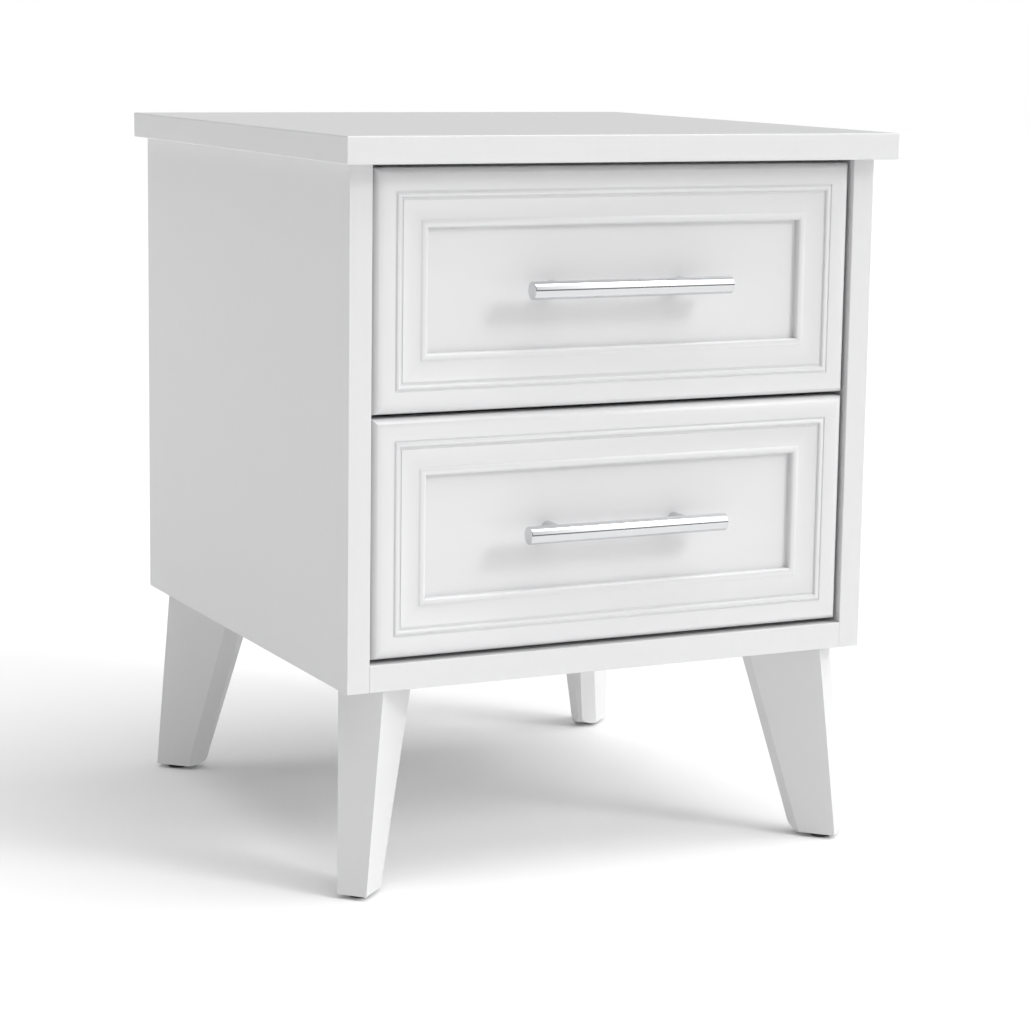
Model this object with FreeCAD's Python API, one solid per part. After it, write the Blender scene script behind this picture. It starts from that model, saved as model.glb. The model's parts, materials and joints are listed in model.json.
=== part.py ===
import FreeCAD, Part
import math
import os

# Two-drawer bedside cabinet on four splayed legs. Millimetres, +Z up, the front faces -Y.
# The origin is on the floor, in the middle of the whole cabinet's width and depth.

# ---- Driving sizes: the case ----
CASE_WIDTH = 390.0
CASE_DEPTH = 390.0
CASE_HEIGHT = 342.0
CASE_LIFT = 140.0
SIDE_THICKNESS = 16.0
BOTTOM_THICKNESS = 18.0
RAIL_THICKNESS = 16.0
RAIL_WIDTH = 70.0
BACK_THICKNESS = 3.0
BACK_INSET = 12.0
BACK_GROOVE_DEPTH = 6.0
PANEL_EDGE_RADIUS = 0.6

# ---- Driving sizes: the top ----
TOP_THICKNESS = 18.0
TOP_SIDE_OVERHANG = 9.0
TOP_FRONT_OVERHANG = 17.0
TOP_BACK_OVERHANG = 5.0
TOP_EDGE_RADIUS = 1.0

# ---- Driving sizes: the drawer fronts ----
DRAWER_NAMES = ["lower", "upper"]
FRONT_TOP_GAP = 3.0
FRONT_GAP = 2.5
FRONT_SIDE_GAP = 2.0
FRONT_SETBACK = 0.8
FRONT_THICKNESS = 18.0
PANEL_THICKNESS = 11.0
ROLL_RADIUS = 6.5
CROWN_WIDTH = 8.0
CROWN_FALL = 0.8
QUIRK_WIDTH = 1.0
QUIRK_DEPTH = 1.0
BEAD_WIDTH = 3.2
BEAD_HEIGHT = 1.3
GROOVE_WIDTH = 1.7
GROOVE_DEPTH = 1.6
COVE_WIDTH = 13.0
COVE_FALL = 1.6
COVE_HOLLOW = 0.9
INNER_BEAD_WIDTH = 5.2
INNER_BEAD_HEIGHT = 1.3
INNER_BEAD_FALL = 0.5

# ---- Driving sizes: the drawer boxes ----
BOX_SIDE_THICKNESS = 12.0
BOX_BACK_THICKNESS = 12.0
BOX_BOTTOM_THICKNESS = 4.0
BOX_LOWER_SETBACK = 14.0
BOX_HEADROOM = 18.0
BOX_REAR_GAP = 21.0
BOX_GROOVE_RISE = 10.0
BOX_GROOVE_DEPTH = 6.0
GROOVE_SLACK = 0.2
BOX_EDGE_RADIUS = 1.0

# ---- Driving sizes: the handles ----
HANDLE_CENTRES = 96.0
HANDLE_BAR_LENGTH = 148.0
HANDLE_BAR_DIAMETER = 12.0
HANDLE_BAR_CHAMFER = 0.6
HANDLE_STANDOFF = 24.0
HANDLE_POST_DIAMETER = 9.0
HANDLE_SCREW_DIAMETER = 4.0
HANDLE_SCREW_REACH = 10.0
HANDLE_SCREW_HEAD_DIAMETER = 8.5
HANDLE_SCREW_HEAD_HEIGHT = 2.6

# ---- Driving sizes: the ball-bearing runners ----
RUNNER_LENGTH_STEP = 50.0
RUNNER_SETBACK = 3.0
RUNNER_RISE = 45.0
RUNNER_THICKNESS = 12.7
RUNNER_SHEET = 1.2
OUTER_HEIGHT = 35.0
OUTER_FLANGE = 9.5
OUTER_LIP = 1.6
INNER_HEIGHT = 24.4
INNER_FLANGE_CLEARANCE = 3.0
BALL_DIAMETER = 3.6
BALL_COUNT = 8
BALL_PITCH = 9.0
BALL_CENTRE_IN = 5.0
CAGE_SHEET = 0.6
CAGE_WEB_IN = 2.0
CAGE_FLANGE_END = 7.6
CAGE_LENGTH = 76.0
BALL_POCKET_CLEARANCE = 0.15
END_STOP_HEIGHT = 6.0
END_STOP_THICKNESS = 1.5

# ---- Driving sizes: the legs and their glides ----
GLIDE_HEIGHT = 3.0
GLIDE_DIAMETER = 16.0
GLIDE_EDGE_RADIUS = 1.0
GLIDE_NAIL_DIAMETER = 2.0
GLIDE_NAIL_LENGTH = 14.0
LEG_TOP_INSET = 24.0
LEG_TOP_WIDTH = 32.0
LEG_TOP_LENGTH = 62.0
LEG_FOOT_INSET = 10.0
LEG_FOOT_WIDTH = 20.5
LEG_FOOT_LENGTH = 35.0
LEG_CHAMFER = 9.0
LEG_TOE_RADIUS = 10.0
LEG_SCREW_OFFSETS = [19.0, 41.0]

# ---- Driving sizes: the fixings ----
HOLE_CLEARANCE = 0.1
DOWEL_DIAMETER = 8.0
DOWEL_IN_EDGE = 22.0
DOWEL_IN_FACE = 9.0
DOWEL_CHAMFER = 0.8
CAM_DIAMETER = 15.0
CAM_HEIGHT = 11.5
CAM_REACH = 24.0
CAM_BOLT_DIAMETER = 6.0
CAM_BOLT_IN_FACE = 9.0
BOX_CAM_DIAMETER = 12.0
BOX_CAM_HEIGHT = 9.5
BOX_CAM_BOLT_DIAMETER = 5.0
BOX_CAM_BOLT_IN_FACE = 8.0
CAM_SLOT_WIDTH = 1.6
CAM_SLOT_DEPTH = 1.5
CAM_SLOT_SHARE = 0.7
CAM_NECK_SHARE = 0.75
CAM_BOLT_HEAD = 5.0
SCREW_DIAMETER = 4.0
SCREW_HEAD_DIAMETER = 8.0
SCREW_HEAD_HEIGHT = 2.5
DRIVE_RECESS_WIDTH = 2.6
DRIVE_RECESS_DEPTH = 1.2
LEG_SCREW_DIAMETER = 5.0
LEG_SCREW_IN_LEG = 36.0
TOP_SCREW_IN_TOP = 12.0
BOX_SCREW_IN_BACK = 25.0
RUNNER_SCREW_DIAMETER = 3.5
RUNNER_SCREW_HEAD_DIAMETER = 7.0
RUNNER_SCREW_HEAD_HEIGHT = 0.5
RUNNER_SCREW_IN_PANEL = 10.0
RUNNER_SCREW_IN_BOX = 8.0
RUNNER_SCREW_INSET = 35.0
BACK_NAIL_DIAMETER = 1.4
BACK_NAIL_LENGTH = 16.0
BACK_NAIL_HEAD_DIAMETER = 4.0
BACK_NAIL_HEAD_HEIGHT = 0.6
BACK_NAIL_COUNT = 4
BACK_NAIL_END_INSET = 30.0
CAM_EDGE_INSET = 60.0
DOWEL_EDGE_INSET = 95.0
SIDE_DOWEL_INSET = 115.0
RAIL_DOWEL_SHIFT = 20.0
RAIL_SCREW_INSET = 80.0
BOX_CAM_INSET = 14.0
BOX_SCREW_INSET = 14.0

# ---- Levels and faces worked out from the sizes above ----
X = FreeCAD.Vector(1, 0, 0)
Y = FreeCAD.Vector(0, 1, 0)
Z = FreeCAD.Vector(0, 0, 1)
panel_recess = FRONT_THICKNESS - PANEL_THICKNESS
handle_reach = HANDLE_STANDOFF + HANDLE_BAR_DIAMETER / 2 - panel_recess - FRONT_SETBACK
front_reach = max(TOP_FRONT_OVERHANG, handle_reach)
overall_depth = front_reach + CASE_DEPTH + TOP_BACK_OVERHANG
case_front = front_reach - overall_depth / 2
case_back = case_front + CASE_DEPTH
case_bottom = CASE_LIFT
case_top = CASE_LIFT + CASE_HEIGHT
half_width = CASE_WIDTH / 2
half_opening = half_width - SIDE_THICKNESS
bottom_top = case_bottom + BOTTOM_THICKNESS
rail_bottom = case_top - RAIL_THICKNESS
back_face = case_back - BACK_INSET - BACK_THICKNESS
front_face = case_front + FRONT_SETBACK
front_back = front_face + FRONT_THICKNESS
panel_face = front_face + panel_recess
rail_front = front_back + FRONT_GAP

# ---- Drawer fronts and boxes ----
drawer_count = len(DRAWER_NAMES)
front_space = CASE_HEIGHT - BOTTOM_THICKNESS - FRONT_TOP_GAP - drawer_count * FRONT_GAP
front_height = front_space / drawer_count
front_half_width = half_opening - FRONT_SIDE_GAP
box_half_width = half_opening - RUNNER_THICKNESS
box_inner_half = box_half_width - BOX_SIDE_THICKNESS
box_top_setback = RAIL_THICKNESS + BOX_HEADROOM - FRONT_TOP_GAP
box_height = front_height - BOX_LOWER_SETBACK - box_top_setback
box_end = back_face - BOX_REAR_GAP
box_back_front = box_end - BOX_BACK_THICKNESS

# ---- Runners: their length is the longest stocked one that the box can carry ----
runner_front = front_back + RUNNER_SETBACK
runner_length = RUNNER_LENGTH_STEP * math.floor((box_end - runner_front) / RUNNER_LENGTH_STEP)
runner_back = runner_front + runner_length
drawer_travel = runner_length - CAGE_LENGTH - 2 * END_STOP_THICKNESS
cage_front = runner_front + drawer_travel / 2 + END_STOP_THICKNESS
ball_centre_rise = (INNER_HEIGHT / 2 + OUTER_HEIGHT / 2 - RUNNER_SHEET) / 2
moulding_width = (ROLL_RADIUS + CROWN_WIDTH + QUIRK_WIDTH + BEAD_WIDTH + GROOVE_WIDTH
                  + COVE_WIDTH + INNER_BEAD_WIDTH)


# ---- Small shape helpers ----
def box(x_span, y_span, z_span):
    """A block between two values along each axis."""
    size = [max(span) - min(span) for span in (x_span, y_span, z_span)]
    corner = FreeCAD.Vector(min(x_span), min(y_span), min(z_span))
    return Part.makeBox(size[0], size[1], size[2], corner)


def block(centre, along, across, through, length, width, depth):
    """A block on a face: centred along and across, and going depth deep from centre."""
    reach = along * (length / 2) + across * (width / 2)
    low = centre - reach
    high = centre + reach + through * depth
    return box((low.x, high.x), (low.y, high.y), (low.z, high.z))


def rod(start, direction, diameter, length):
    return Part.makeCylinder(diameter / 2, length, start, direction)


def at(value, level):
    return abs(value - level) < 1e-6


def soften(shape, radius, picks):
    """Round the edges whose bounding box passes the test in picks."""
    edges = [edge for edge in shape.Edges if picks(edge.BoundBox)]
    return shape.makeFillet(radius, edges) if edges else shape


def mirror(shape):
    """The same piece on the other side of the cabinet."""
    return shape.mirror(FreeCAD.Vector(0, 0, 0), X)


def both_sides(shape):
    """One group of the solids on the right and their twins on the left."""
    return Part.makeCompound(shape.Solids + mirror(shape).Solids)


def group(shapes):
    return Part.makeCompound([solid for shape in shapes for solid in shape.Solids])


def headed_screw(seat, direction, diameter, length, head_diameter, head_height):
    """A screw: its head starts at seat, and its shank goes length past the head."""
    head = rod(seat, direction, head_diameter, head_height)
    shank = rod(seat, direction, diameter, head_height + length)
    recess = rod(seat, direction, DRIVE_RECESS_WIDTH, min(DRIVE_RECESS_DEPTH, head_height / 2))
    return head.fuse(shank).cut(recess)


def screw_hole(seat, direction, diameter, length, head_diameter, head_height):
    """The counterbored hole that such a screw sits in."""
    wide = 2 * HOLE_CLEARANCE
    counterbore = rod(seat, direction, head_diameter + wide, head_height)
    bore = rod(seat, direction, diameter + wide, head_height + length + HOLE_CLEARANCE)
    return counterbore.fuse(bore)


def dowel(joint_face, into_edge):
    """A dowel across a joint; into_edge points into the board that is drilled in its edge."""
    start = joint_face - into_edge * DOWEL_IN_FACE
    peg = rod(start, into_edge, DOWEL_DIAMETER, DOWEL_IN_FACE + DOWEL_IN_EDGE)
    rims = [edge for edge in peg.Edges if edge.isClosed()]
    return peg.makeChamfer(DOWEL_CHAMFER, rims)


def dowel_hole(joint_face, into_edge):
    start = joint_face - into_edge * (DOWEL_IN_FACE + HOLE_CLEARANCE)
    length = DOWEL_IN_FACE + DOWEL_IN_EDGE + 2 * HOLE_CLEARANCE
    return rod(start, into_edge, DOWEL_DIAMETER + 2 * HOLE_CLEARANCE, length)


def cam_bolt(joint_face, into_edge, diameter, in_face):
    """The bolt of a cam fixing: its thread in one board's face, its neck and head in the other's edge."""
    thread = rod(joint_face - into_edge * in_face, into_edge, diameter, in_face)
    neck_diameter = diameter * CAM_NECK_SHARE
    neck_length = CAM_REACH - CAM_BOLT_HEAD
    neck = rod(joint_face, into_edge, neck_diameter, neck_length)
    waist = rod(joint_face, into_edge, neck_diameter * CAM_NECK_SHARE, CAM_REACH)
    head = rod(joint_face + into_edge * (CAM_REACH - CAM_BOLT_HEAD / 2), into_edge, neck_diameter,
               CAM_BOLT_HEAD / 2)
    return thread.fuse([neck, waist, head])


def cam_bolt_hole(joint_face, into_edge, diameter, in_face):
    wide = 2 * HOLE_CLEARANCE
    thread = rod(joint_face - into_edge * (in_face + HOLE_CLEARANCE), into_edge, diameter + wide,
                 in_face + HOLE_CLEARANCE)
    neck = rod(joint_face, into_edge, diameter + wide, CAM_REACH)
    return thread.fuse(neck)


def cam_nut(joint_face, into_edge, open_face, inward, diameter, height, bolt_diameter):
    """The turning drum of a cam fixing: slotted in its open end, with a way in for the bolt."""
    centre = joint_face + into_edge * CAM_REACH + inward * open_face
    drum = rod(centre, inward, diameter, height)
    across = inward.cross(into_edge)
    slot_length = diameter * CAM_SLOT_SHARE
    slots = [block(centre, into_edge, across, inward, slot_length, CAM_SLOT_WIDTH, CAM_SLOT_DEPTH),
             block(centre, across, into_edge, inward, slot_length, CAM_SLOT_WIDTH, CAM_SLOT_DEPTH)]
    way_in = rod(joint_face, into_edge, bolt_diameter + 2 * HOLE_CLEARANCE,
                 CAM_REACH + bolt_diameter)
    return drum.cut(slots + [way_in])


def cam_pocket(joint_face, into_edge, open_face, inward, diameter, height):
    centre = joint_face + into_edge * CAM_REACH + inward * open_face
    return rod(centre, inward, diameter + 2 * HOLE_CLEARANCE, height + HOLE_CLEARANCE)


# ---- Fixing positions that two pieces share, on the right-hand side ----
def on_side_face(y, z):
    return FreeCAD.Vector(half_opening, y, z)


def board_levels():
    """The middle of each level board's edge, with the open face and direction of its cam drums."""
    bottom = (case_bottom + BOTTOM_THICKNESS / 2, -BOTTOM_THICKNESS / 2)
    rail = (rail_bottom + RAIL_THICKNESS / 2, -RAIL_THICKNESS / 2)
    return bottom, rail


def carcass_cams():
    """(joint point, distance from the edge's middle to the drum's open face) for every cam."""
    (bottom_z, bottom_open), (rail_z, rail_open) = board_levels()
    rail_middle = RAIL_WIDTH / 2
    places = [(on_side_face(case_front + CAM_EDGE_INSET, bottom_z), bottom_open),
              (on_side_face(back_face - CAM_EDGE_INSET, bottom_z), bottom_open)]
    places += [(on_side_face(rail_front + rail_middle, rail_z), rail_open),
               (on_side_face(back_face - rail_middle, rail_z), rail_open)]
    return places


def level_dowels():
    (bottom_z, _), (rail_z, _) = board_levels()
    rail_middle = RAIL_WIDTH / 2
    return [on_side_face(case_front + DOWEL_EDGE_INSET, bottom_z),
            on_side_face(back_face - DOWEL_EDGE_INSET, bottom_z),
            on_side_face(rail_front + rail_middle + RAIL_DOWEL_SHIFT, rail_z),
            on_side_face(back_face - rail_middle + RAIL_DOWEL_SHIFT, rail_z)]


def upright_dowels():
    """Where dowels stand between the right side's upper edge and the top."""
    x = half_width - SIDE_THICKNESS / 2
    return [FreeCAD.Vector(x, y, case_top)
            for y in (case_front + SIDE_DOWEL_INSET, case_back - SIDE_DOWEL_INSET)]


def top_screw_seats():
    """Where screws start, under each rail, on the right."""
    x = half_opening - RAIL_SCREW_INSET
    return [FreeCAD.Vector(x, y, rail_bottom)
            for y in (rail_front + RAIL_WIDTH / 2, back_face - RAIL_WIDTH / 2)]


def back_nail_seats():
    """Where nails start, behind the bottom and behind the rear rail."""
    (bottom_z, _), (rail_z, _) = board_levels()
    reach = half_opening - BACK_NAIL_END_INSET
    step = 2 * reach / (BACK_NAIL_COUNT - 1)
    return [FreeCAD.Vector(step * index - reach, back_face + BACK_THICKNESS, z)
            for z in (bottom_z, rail_z) for index in range(BACK_NAIL_COUNT)]


def leg_axes():
    """For each leg: its name, its case corner and the outward diagonal there."""
    legs = []
    for front_name, y, y_sign in (("front", case_front, -1), ("rear", case_back, 1)):
        for side_name, x_sign in (("left", -1), ("right", 1)):
            corner = FreeCAD.Vector(x_sign * half_width, y, case_bottom)
            outward = FreeCAD.Vector(x_sign, y_sign, 0).normalize()
            legs.append((front_name + "_" + side_name + "_leg", corner, outward))
    return legs


def leg_screw_seats():
    """Where the leg screws start, in the bottom's upper face."""
    seats = []
    for _, corner, outward in leg_axes():
        for offset in LEG_SCREW_OFFSETS:
            seats.append(corner - outward * (LEG_TOP_INSET + offset) + Z * BOTTOM_THICKNESS)
    return seats


def glide_centre(corner, outward):
    foot_flat = LEG_FOOT_LENGTH - LEG_TOE_RADIUS
    place = corner - outward * (LEG_FOOT_INSET + foot_flat / 2)
    return FreeCAD.Vector(place.x, place.y, GLIDE_HEIGHT)


def runner_screw_places(rise):
    """(y, z) of the screws in each runner member, near its two ends."""
    return [(runner_front + RUNNER_SCREW_INSET, rise), (runner_back - RUNNER_SCREW_INSET, rise)]


# ---- The case ----
def case_side():
    """The right side, with its joint holes, its back groove and the runners' screw holes."""
    panel = box((half_opening, half_width), (case_front, case_back), (case_bottom, case_top))
    panel = soften(panel, PANEL_EDGE_RADIUS,
                   lambda b: at(b.YMin, case_front) and at(b.YMax, case_front)
                   or at(b.ZMin, case_bottom) and at(b.ZMax, case_bottom) and at(b.XMin, b.XMax))
    groove = box((half_opening, half_opening + BACK_GROOVE_DEPTH), (back_face, back_face + BACK_THICKNESS),
                 (case_bottom, case_top))
    cuts = [groove]
    inward = X * -1
    cuts += [cam_bolt_hole(joint, inward, CAM_BOLT_DIAMETER, CAM_BOLT_IN_FACE)
             for joint, _ in carcass_cams()]
    cuts += [dowel_hole(joint, inward) for joint in level_dowels()]
    cuts += [dowel_hole(joint, Z * -1) for joint in upright_dowels()]
    for name in DRAWER_NAMES:
        for y, z in runner_screw_places(runner_level(name)):
            cuts.append(rod(on_side_face(y, z), X, RUNNER_SCREW_DIAMETER + 2 * HOLE_CLEARANCE,
                            RUNNER_SCREW_IN_PANEL + HOLE_CLEARANCE))
    return panel.cut(cuts)


def level_board(y_span, z_span):
    """The right half of a board's joint cuts, taken out of the whole board on both sides."""
    board = box((-half_opening, half_opening), y_span, z_span)
    inward = X * -1
    cuts = []
    for joint, open_face in carcass_cams():
        if z_span[0] < joint.z < z_span[1] and y_span[0] < joint.y < y_span[1]:
            cuts.append(cam_bolt_hole(joint, inward, CAM_BOLT_DIAMETER, CAM_BOLT_IN_FACE))
            cuts.append(cam_pocket(joint, inward, open_face, Z, CAM_DIAMETER, CAM_HEIGHT))
    for joint in level_dowels():
        if z_span[0] < joint.z < z_span[1] and y_span[0] < joint.y < y_span[1]:
            cuts.append(dowel_hole(joint, inward))
    return board.cut(cuts + [mirror(cut) for cut in cuts])


def bottom_panel():
    board = level_board((case_front, back_face), (case_bottom, bottom_top))
    board = soften(board, PANEL_EDGE_RADIUS,
                   lambda b: at(b.YMin, case_front) and at(b.YMax, case_front) and at(b.ZMin, b.ZMax))
    holes = [screw_hole(seat, Z * -1, LEG_SCREW_DIAMETER, LEG_SCREW_IN_LEG, SCREW_HEAD_DIAMETER,
                        SCREW_HEAD_HEIGHT) for seat in leg_screw_seats()]
    return board.cut(holes)


def rail(y_start):
    board = level_board((y_start, y_start + RAIL_WIDTH), (rail_bottom, case_top))
    holes = [screw_hole(seat, Z, SCREW_DIAMETER, RAIL_THICKNESS, SCREW_HEAD_DIAMETER, SCREW_HEAD_HEIGHT)
             for seat in top_screw_seats() if y_start < seat.y < y_start + RAIL_WIDTH]
    return board.cut(holes + [mirror(hole) for hole in holes])


def top_panel():
    board = box((-half_width - TOP_SIDE_OVERHANG, half_width + TOP_SIDE_OVERHANG),
                (case_front - TOP_FRONT_OVERHANG, case_back + TOP_BACK_OVERHANG),
                (case_top, case_top + TOP_THICKNESS))
    board = board.makeFillet(TOP_EDGE_RADIUS, board.Edges)
    holes = [dowel_hole(joint, Z * -1) for joint in upright_dowels()]
    holes += [rod(seat, Z, SCREW_DIAMETER + 2 * HOLE_CLEARANCE,
                  RAIL_THICKNESS + TOP_SCREW_IN_TOP + HOLE_CLEARANCE) for seat in top_screw_seats()]
    return board.cut(holes + [mirror(hole) for hole in holes])


def back_panel():
    reach = half_opening + BACK_GROOVE_DEPTH - GROOVE_SLACK
    board = box((-reach, reach), (back_face, back_face + BACK_THICKNESS), (case_bottom, case_top))
    holes = [rod(seat, Y * -1, BACK_NAIL_DIAMETER + 2 * HOLE_CLEARANCE, BACK_THICKNESS)
             for seat in back_nail_seats()]
    return board.cut(holes)


def drilled_for_nails(board):
    holes = [rod(seat, Y * -1, BACK_NAIL_DIAMETER + 2 * HOLE_CLEARANCE, BACK_NAIL_LENGTH + HOLE_CLEARANCE)
             for seat in back_nail_seats()]
    return board.cut(holes)


def back_nails():
    nails = []
    for seat in back_nail_seats():
        head = rod(seat, Y, BACK_NAIL_HEAD_DIAMETER, BACK_NAIL_HEAD_HEIGHT)
        shank = rod(seat, Y * -1, BACK_NAIL_DIAMETER, BACK_NAIL_LENGTH)
        nails.append(head.fuse(shank))
    return group(nails)


def carcass_cam_bolts():
    bolts = [cam_bolt(joint, X * -1, CAM_BOLT_DIAMETER, CAM_BOLT_IN_FACE) for joint, _ in carcass_cams()]
    return both_sides(group(bolts))


def carcass_cam_nuts():
    nuts = [cam_nut(joint, X * -1, open_face, Z, CAM_DIAMETER, CAM_HEIGHT, CAM_BOLT_DIAMETER)
            for joint, open_face in carcass_cams()]
    return both_sides(group(nuts))


def carcass_dowels():
    pegs = [dowel(joint, X * -1) for joint in level_dowels()]
    pegs += [dowel(joint, Z * -1) for joint in upright_dowels()]
    return both_sides(group(pegs))


def top_screws():
    length = RAIL_THICKNESS - SCREW_HEAD_HEIGHT + TOP_SCREW_IN_TOP
    screws = [headed_screw(seat, Z, SCREW_DIAMETER, length, SCREW_HEAD_DIAMETER, SCREW_HEAD_HEIGHT)
              for seat in top_screw_seats()]
    return both_sides(group(screws))


# ---- The legs ----
def leg_outline(corner, outward, inset, width, length, level):
    """The leg's section at one level: a flat outer face, parallel cheeks, two chamfers inside."""
    across = Z.cross(outward)
    base = FreeCAD.Vector(corner.x, corner.y, level) - outward * inset
    half = width / 2
    points = [(0, -half), (0, half), (length - LEG_CHAMFER, half), (length, half - LEG_CHAMFER),
              (length, LEG_CHAMFER - half), (length - LEG_CHAMFER, -half)]
    corners = [base - outward * inward + across * sideways for inward, sideways in points]
    return Part.makePolygon(corners + [corners[0]])


def toe_cutter(corner, outward):
    """What the rounded inner toe leaves out of the foot: a square bar less a round one."""
    across = Z.cross(outward)
    reach = LEG_TOP_WIDTH
    foot_end = LEG_FOOT_INSET + LEG_FOOT_LENGTH
    heel = FreeCAD.Vector(corner.x, corner.y, GLIDE_HEIGHT) - outward * foot_end
    lean = (LEG_TOP_INSET + LEG_TOP_LENGTH - foot_end) / (case_bottom - GLIDE_HEIGHT)
    turn = math.atan(lean)
    setback = LEG_TOE_RADIUS * math.tan((math.pi / 2 - turn) / 2)
    along_floor = heel + outward * setback
    centre = along_floor + Z * LEG_TOE_RADIUS
    rise = Z * math.cos(turn) - outward * math.sin(turn)
    up_edge = heel + rise * setback
    start = across * (-reach / 2)
    wedge = Part.Face(Part.makePolygon([point + start for point in
                                        (heel, along_floor, centre, up_edge, heel)]))
    return wedge.extrude(across * reach).cut(rod(centre + start, across, 2 * LEG_TOE_RADIUS, reach))


def leg(corner, outward):
    top = leg_outline(corner, outward, LEG_TOP_INSET, LEG_TOP_WIDTH, LEG_TOP_LENGTH, case_bottom)
    foot = leg_outline(corner, outward, LEG_FOOT_INSET, LEG_FOOT_WIDTH, LEG_FOOT_LENGTH, GLIDE_HEIGHT)
    post = Part.makeLoft([foot, top], True, True).cut(toe_cutter(corner, outward))
    holes = [rod(seat, Z * -1, LEG_SCREW_DIAMETER + 2 * HOLE_CLEARANCE,
                 SCREW_HEAD_HEIGHT + LEG_SCREW_IN_LEG + HOLE_CLEARANCE) for seat in leg_screw_seats()]
    holes.append(rod(glide_centre(corner, outward), Z, GLIDE_NAIL_DIAMETER + 2 * HOLE_CLEARANCE,
                     GLIDE_NAIL_LENGTH + HOLE_CLEARANCE))
    return post.cut(holes)


def leg_screws():
    return group([headed_screw(seat, Z * -1, LEG_SCREW_DIAMETER, LEG_SCREW_IN_LEG, SCREW_HEAD_DIAMETER,
                               SCREW_HEAD_HEIGHT) for seat in leg_screw_seats()])


def foot_glides():
    glides = []
    for _, corner, outward in leg_axes():
        centre = glide_centre(corner, outward)
        pad = rod(centre - Z * GLIDE_HEIGHT, Z, GLIDE_DIAMETER, GLIDE_HEIGHT)
        pad = soften(pad, GLIDE_EDGE_RADIUS, lambda b: at(b.ZMin, 0) and at(b.ZMax, 0))
        glides.append(pad.fuse(rod(centre, Z, GLIDE_NAIL_DIAMETER, GLIDE_NAIL_LENGTH)))
    return group(glides)


# ---- The drawer fronts ----
def front_bottom(name):
    return bottom_top + FRONT_GAP + DRAWER_NAMES.index(name) * (front_height + FRONT_GAP)


def box_bottom(name):
    return front_bottom(name) + BOX_LOWER_SETBACK


def runner_level(name):
    return box_bottom(name) + RUNNER_RISE


def arc(start, middle, end):
    return Part.Arc(start, middle, end).toShape()


def moulding_section():
    """The frame's section in the X-Y plane: X runs inwards from the outer edge, -Y is the front."""
    def point(inwards, height):
        return FreeCAD.Vector(inwards, front_back - height, 0)

    def bead(start_in, start_height, width, height, fall):
        middle = point(start_in + width / 2, start_height - fall / 2 + height)
        return arc(point(start_in, start_height), middle, point(start_in + width, start_height - fall))

    edge_height = FRONT_THICKNESS - ROLL_RADIUS
    diagonal = ROLL_RADIUS * math.sqrt(0.5)
    crown_in = ROLL_RADIUS + CROWN_WIDTH
    crown_height = FRONT_THICKNESS - CROWN_FALL
    quirk_height = crown_height - QUIRK_DEPTH
    bead_in = crown_in + QUIRK_WIDTH
    groove_in = bead_in + BEAD_WIDTH
    groove_height = quirk_height - GROOVE_DEPTH
    cove_in = groove_in + GROOVE_WIDTH
    cove_end = cove_in + COVE_WIDTH
    cove_low = quirk_height - COVE_FALL
    cove_middle = (quirk_height + cove_low) / 2 - COVE_HOLLOW
    frame_end = cove_end + INNER_BEAD_WIDTH
    inner_low = cove_low - INNER_BEAD_FALL
    edges = [
        Part.makeLine(point(0, 0), point(0, edge_height)),
        arc(point(0, edge_height), point(ROLL_RADIUS - diagonal, edge_height + diagonal),
            point(ROLL_RADIUS, FRONT_THICKNESS)),
        arc(point(ROLL_RADIUS, FRONT_THICKNESS),
            point(ROLL_RADIUS + CROWN_WIDTH / 2, FRONT_THICKNESS - CROWN_FALL / 4),
            point(crown_in, crown_height)),
        Part.makeLine(point(crown_in, crown_height), point(crown_in, quirk_height)),
        Part.makeLine(point(crown_in, quirk_height), point(bead_in, quirk_height)),
        bead(bead_in, quirk_height, BEAD_WIDTH, BEAD_HEIGHT, 0),
        Part.makeLine(point(groove_in, quirk_height), point(groove_in, groove_height)),
        Part.makeLine(point(groove_in, groove_height), point(cove_in, groove_height)),
        Part.makeLine(point(cove_in, groove_height), point(cove_in, quirk_height)),
        arc(point(cove_in, quirk_height), point((cove_in + cove_end) / 2, cove_middle),
            point(cove_end, cove_low)),
        bead(cove_end, cove_low, INNER_BEAD_WIDTH, INNER_BEAD_HEIGHT, INNER_BEAD_FALL),
        Part.makeLine(point(frame_end, inner_low), point(frame_end, 0)),
        Part.makeLine(point(frame_end, 0), point(0, 0)),
    ]
    return Part.Face(Part.Wire(edges))


def mitred_bar(length):
    """One side of the frame, lying along +Z from the origin, its ends cut at 45 degrees."""
    bar = moulding_section().extrude(Z * length)
    outline = [(0, 0), (moulding_width, moulding_width), (moulding_width, length - moulding_width),
               (0, length), (0, 0)]
    mitre = Part.Face(Part.makePolygon([FreeCAD.Vector(x, front_face, z) for x, z in outline]))
    return bar.common(mitre.extrude(Y * FRONT_THICKNESS))


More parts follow.
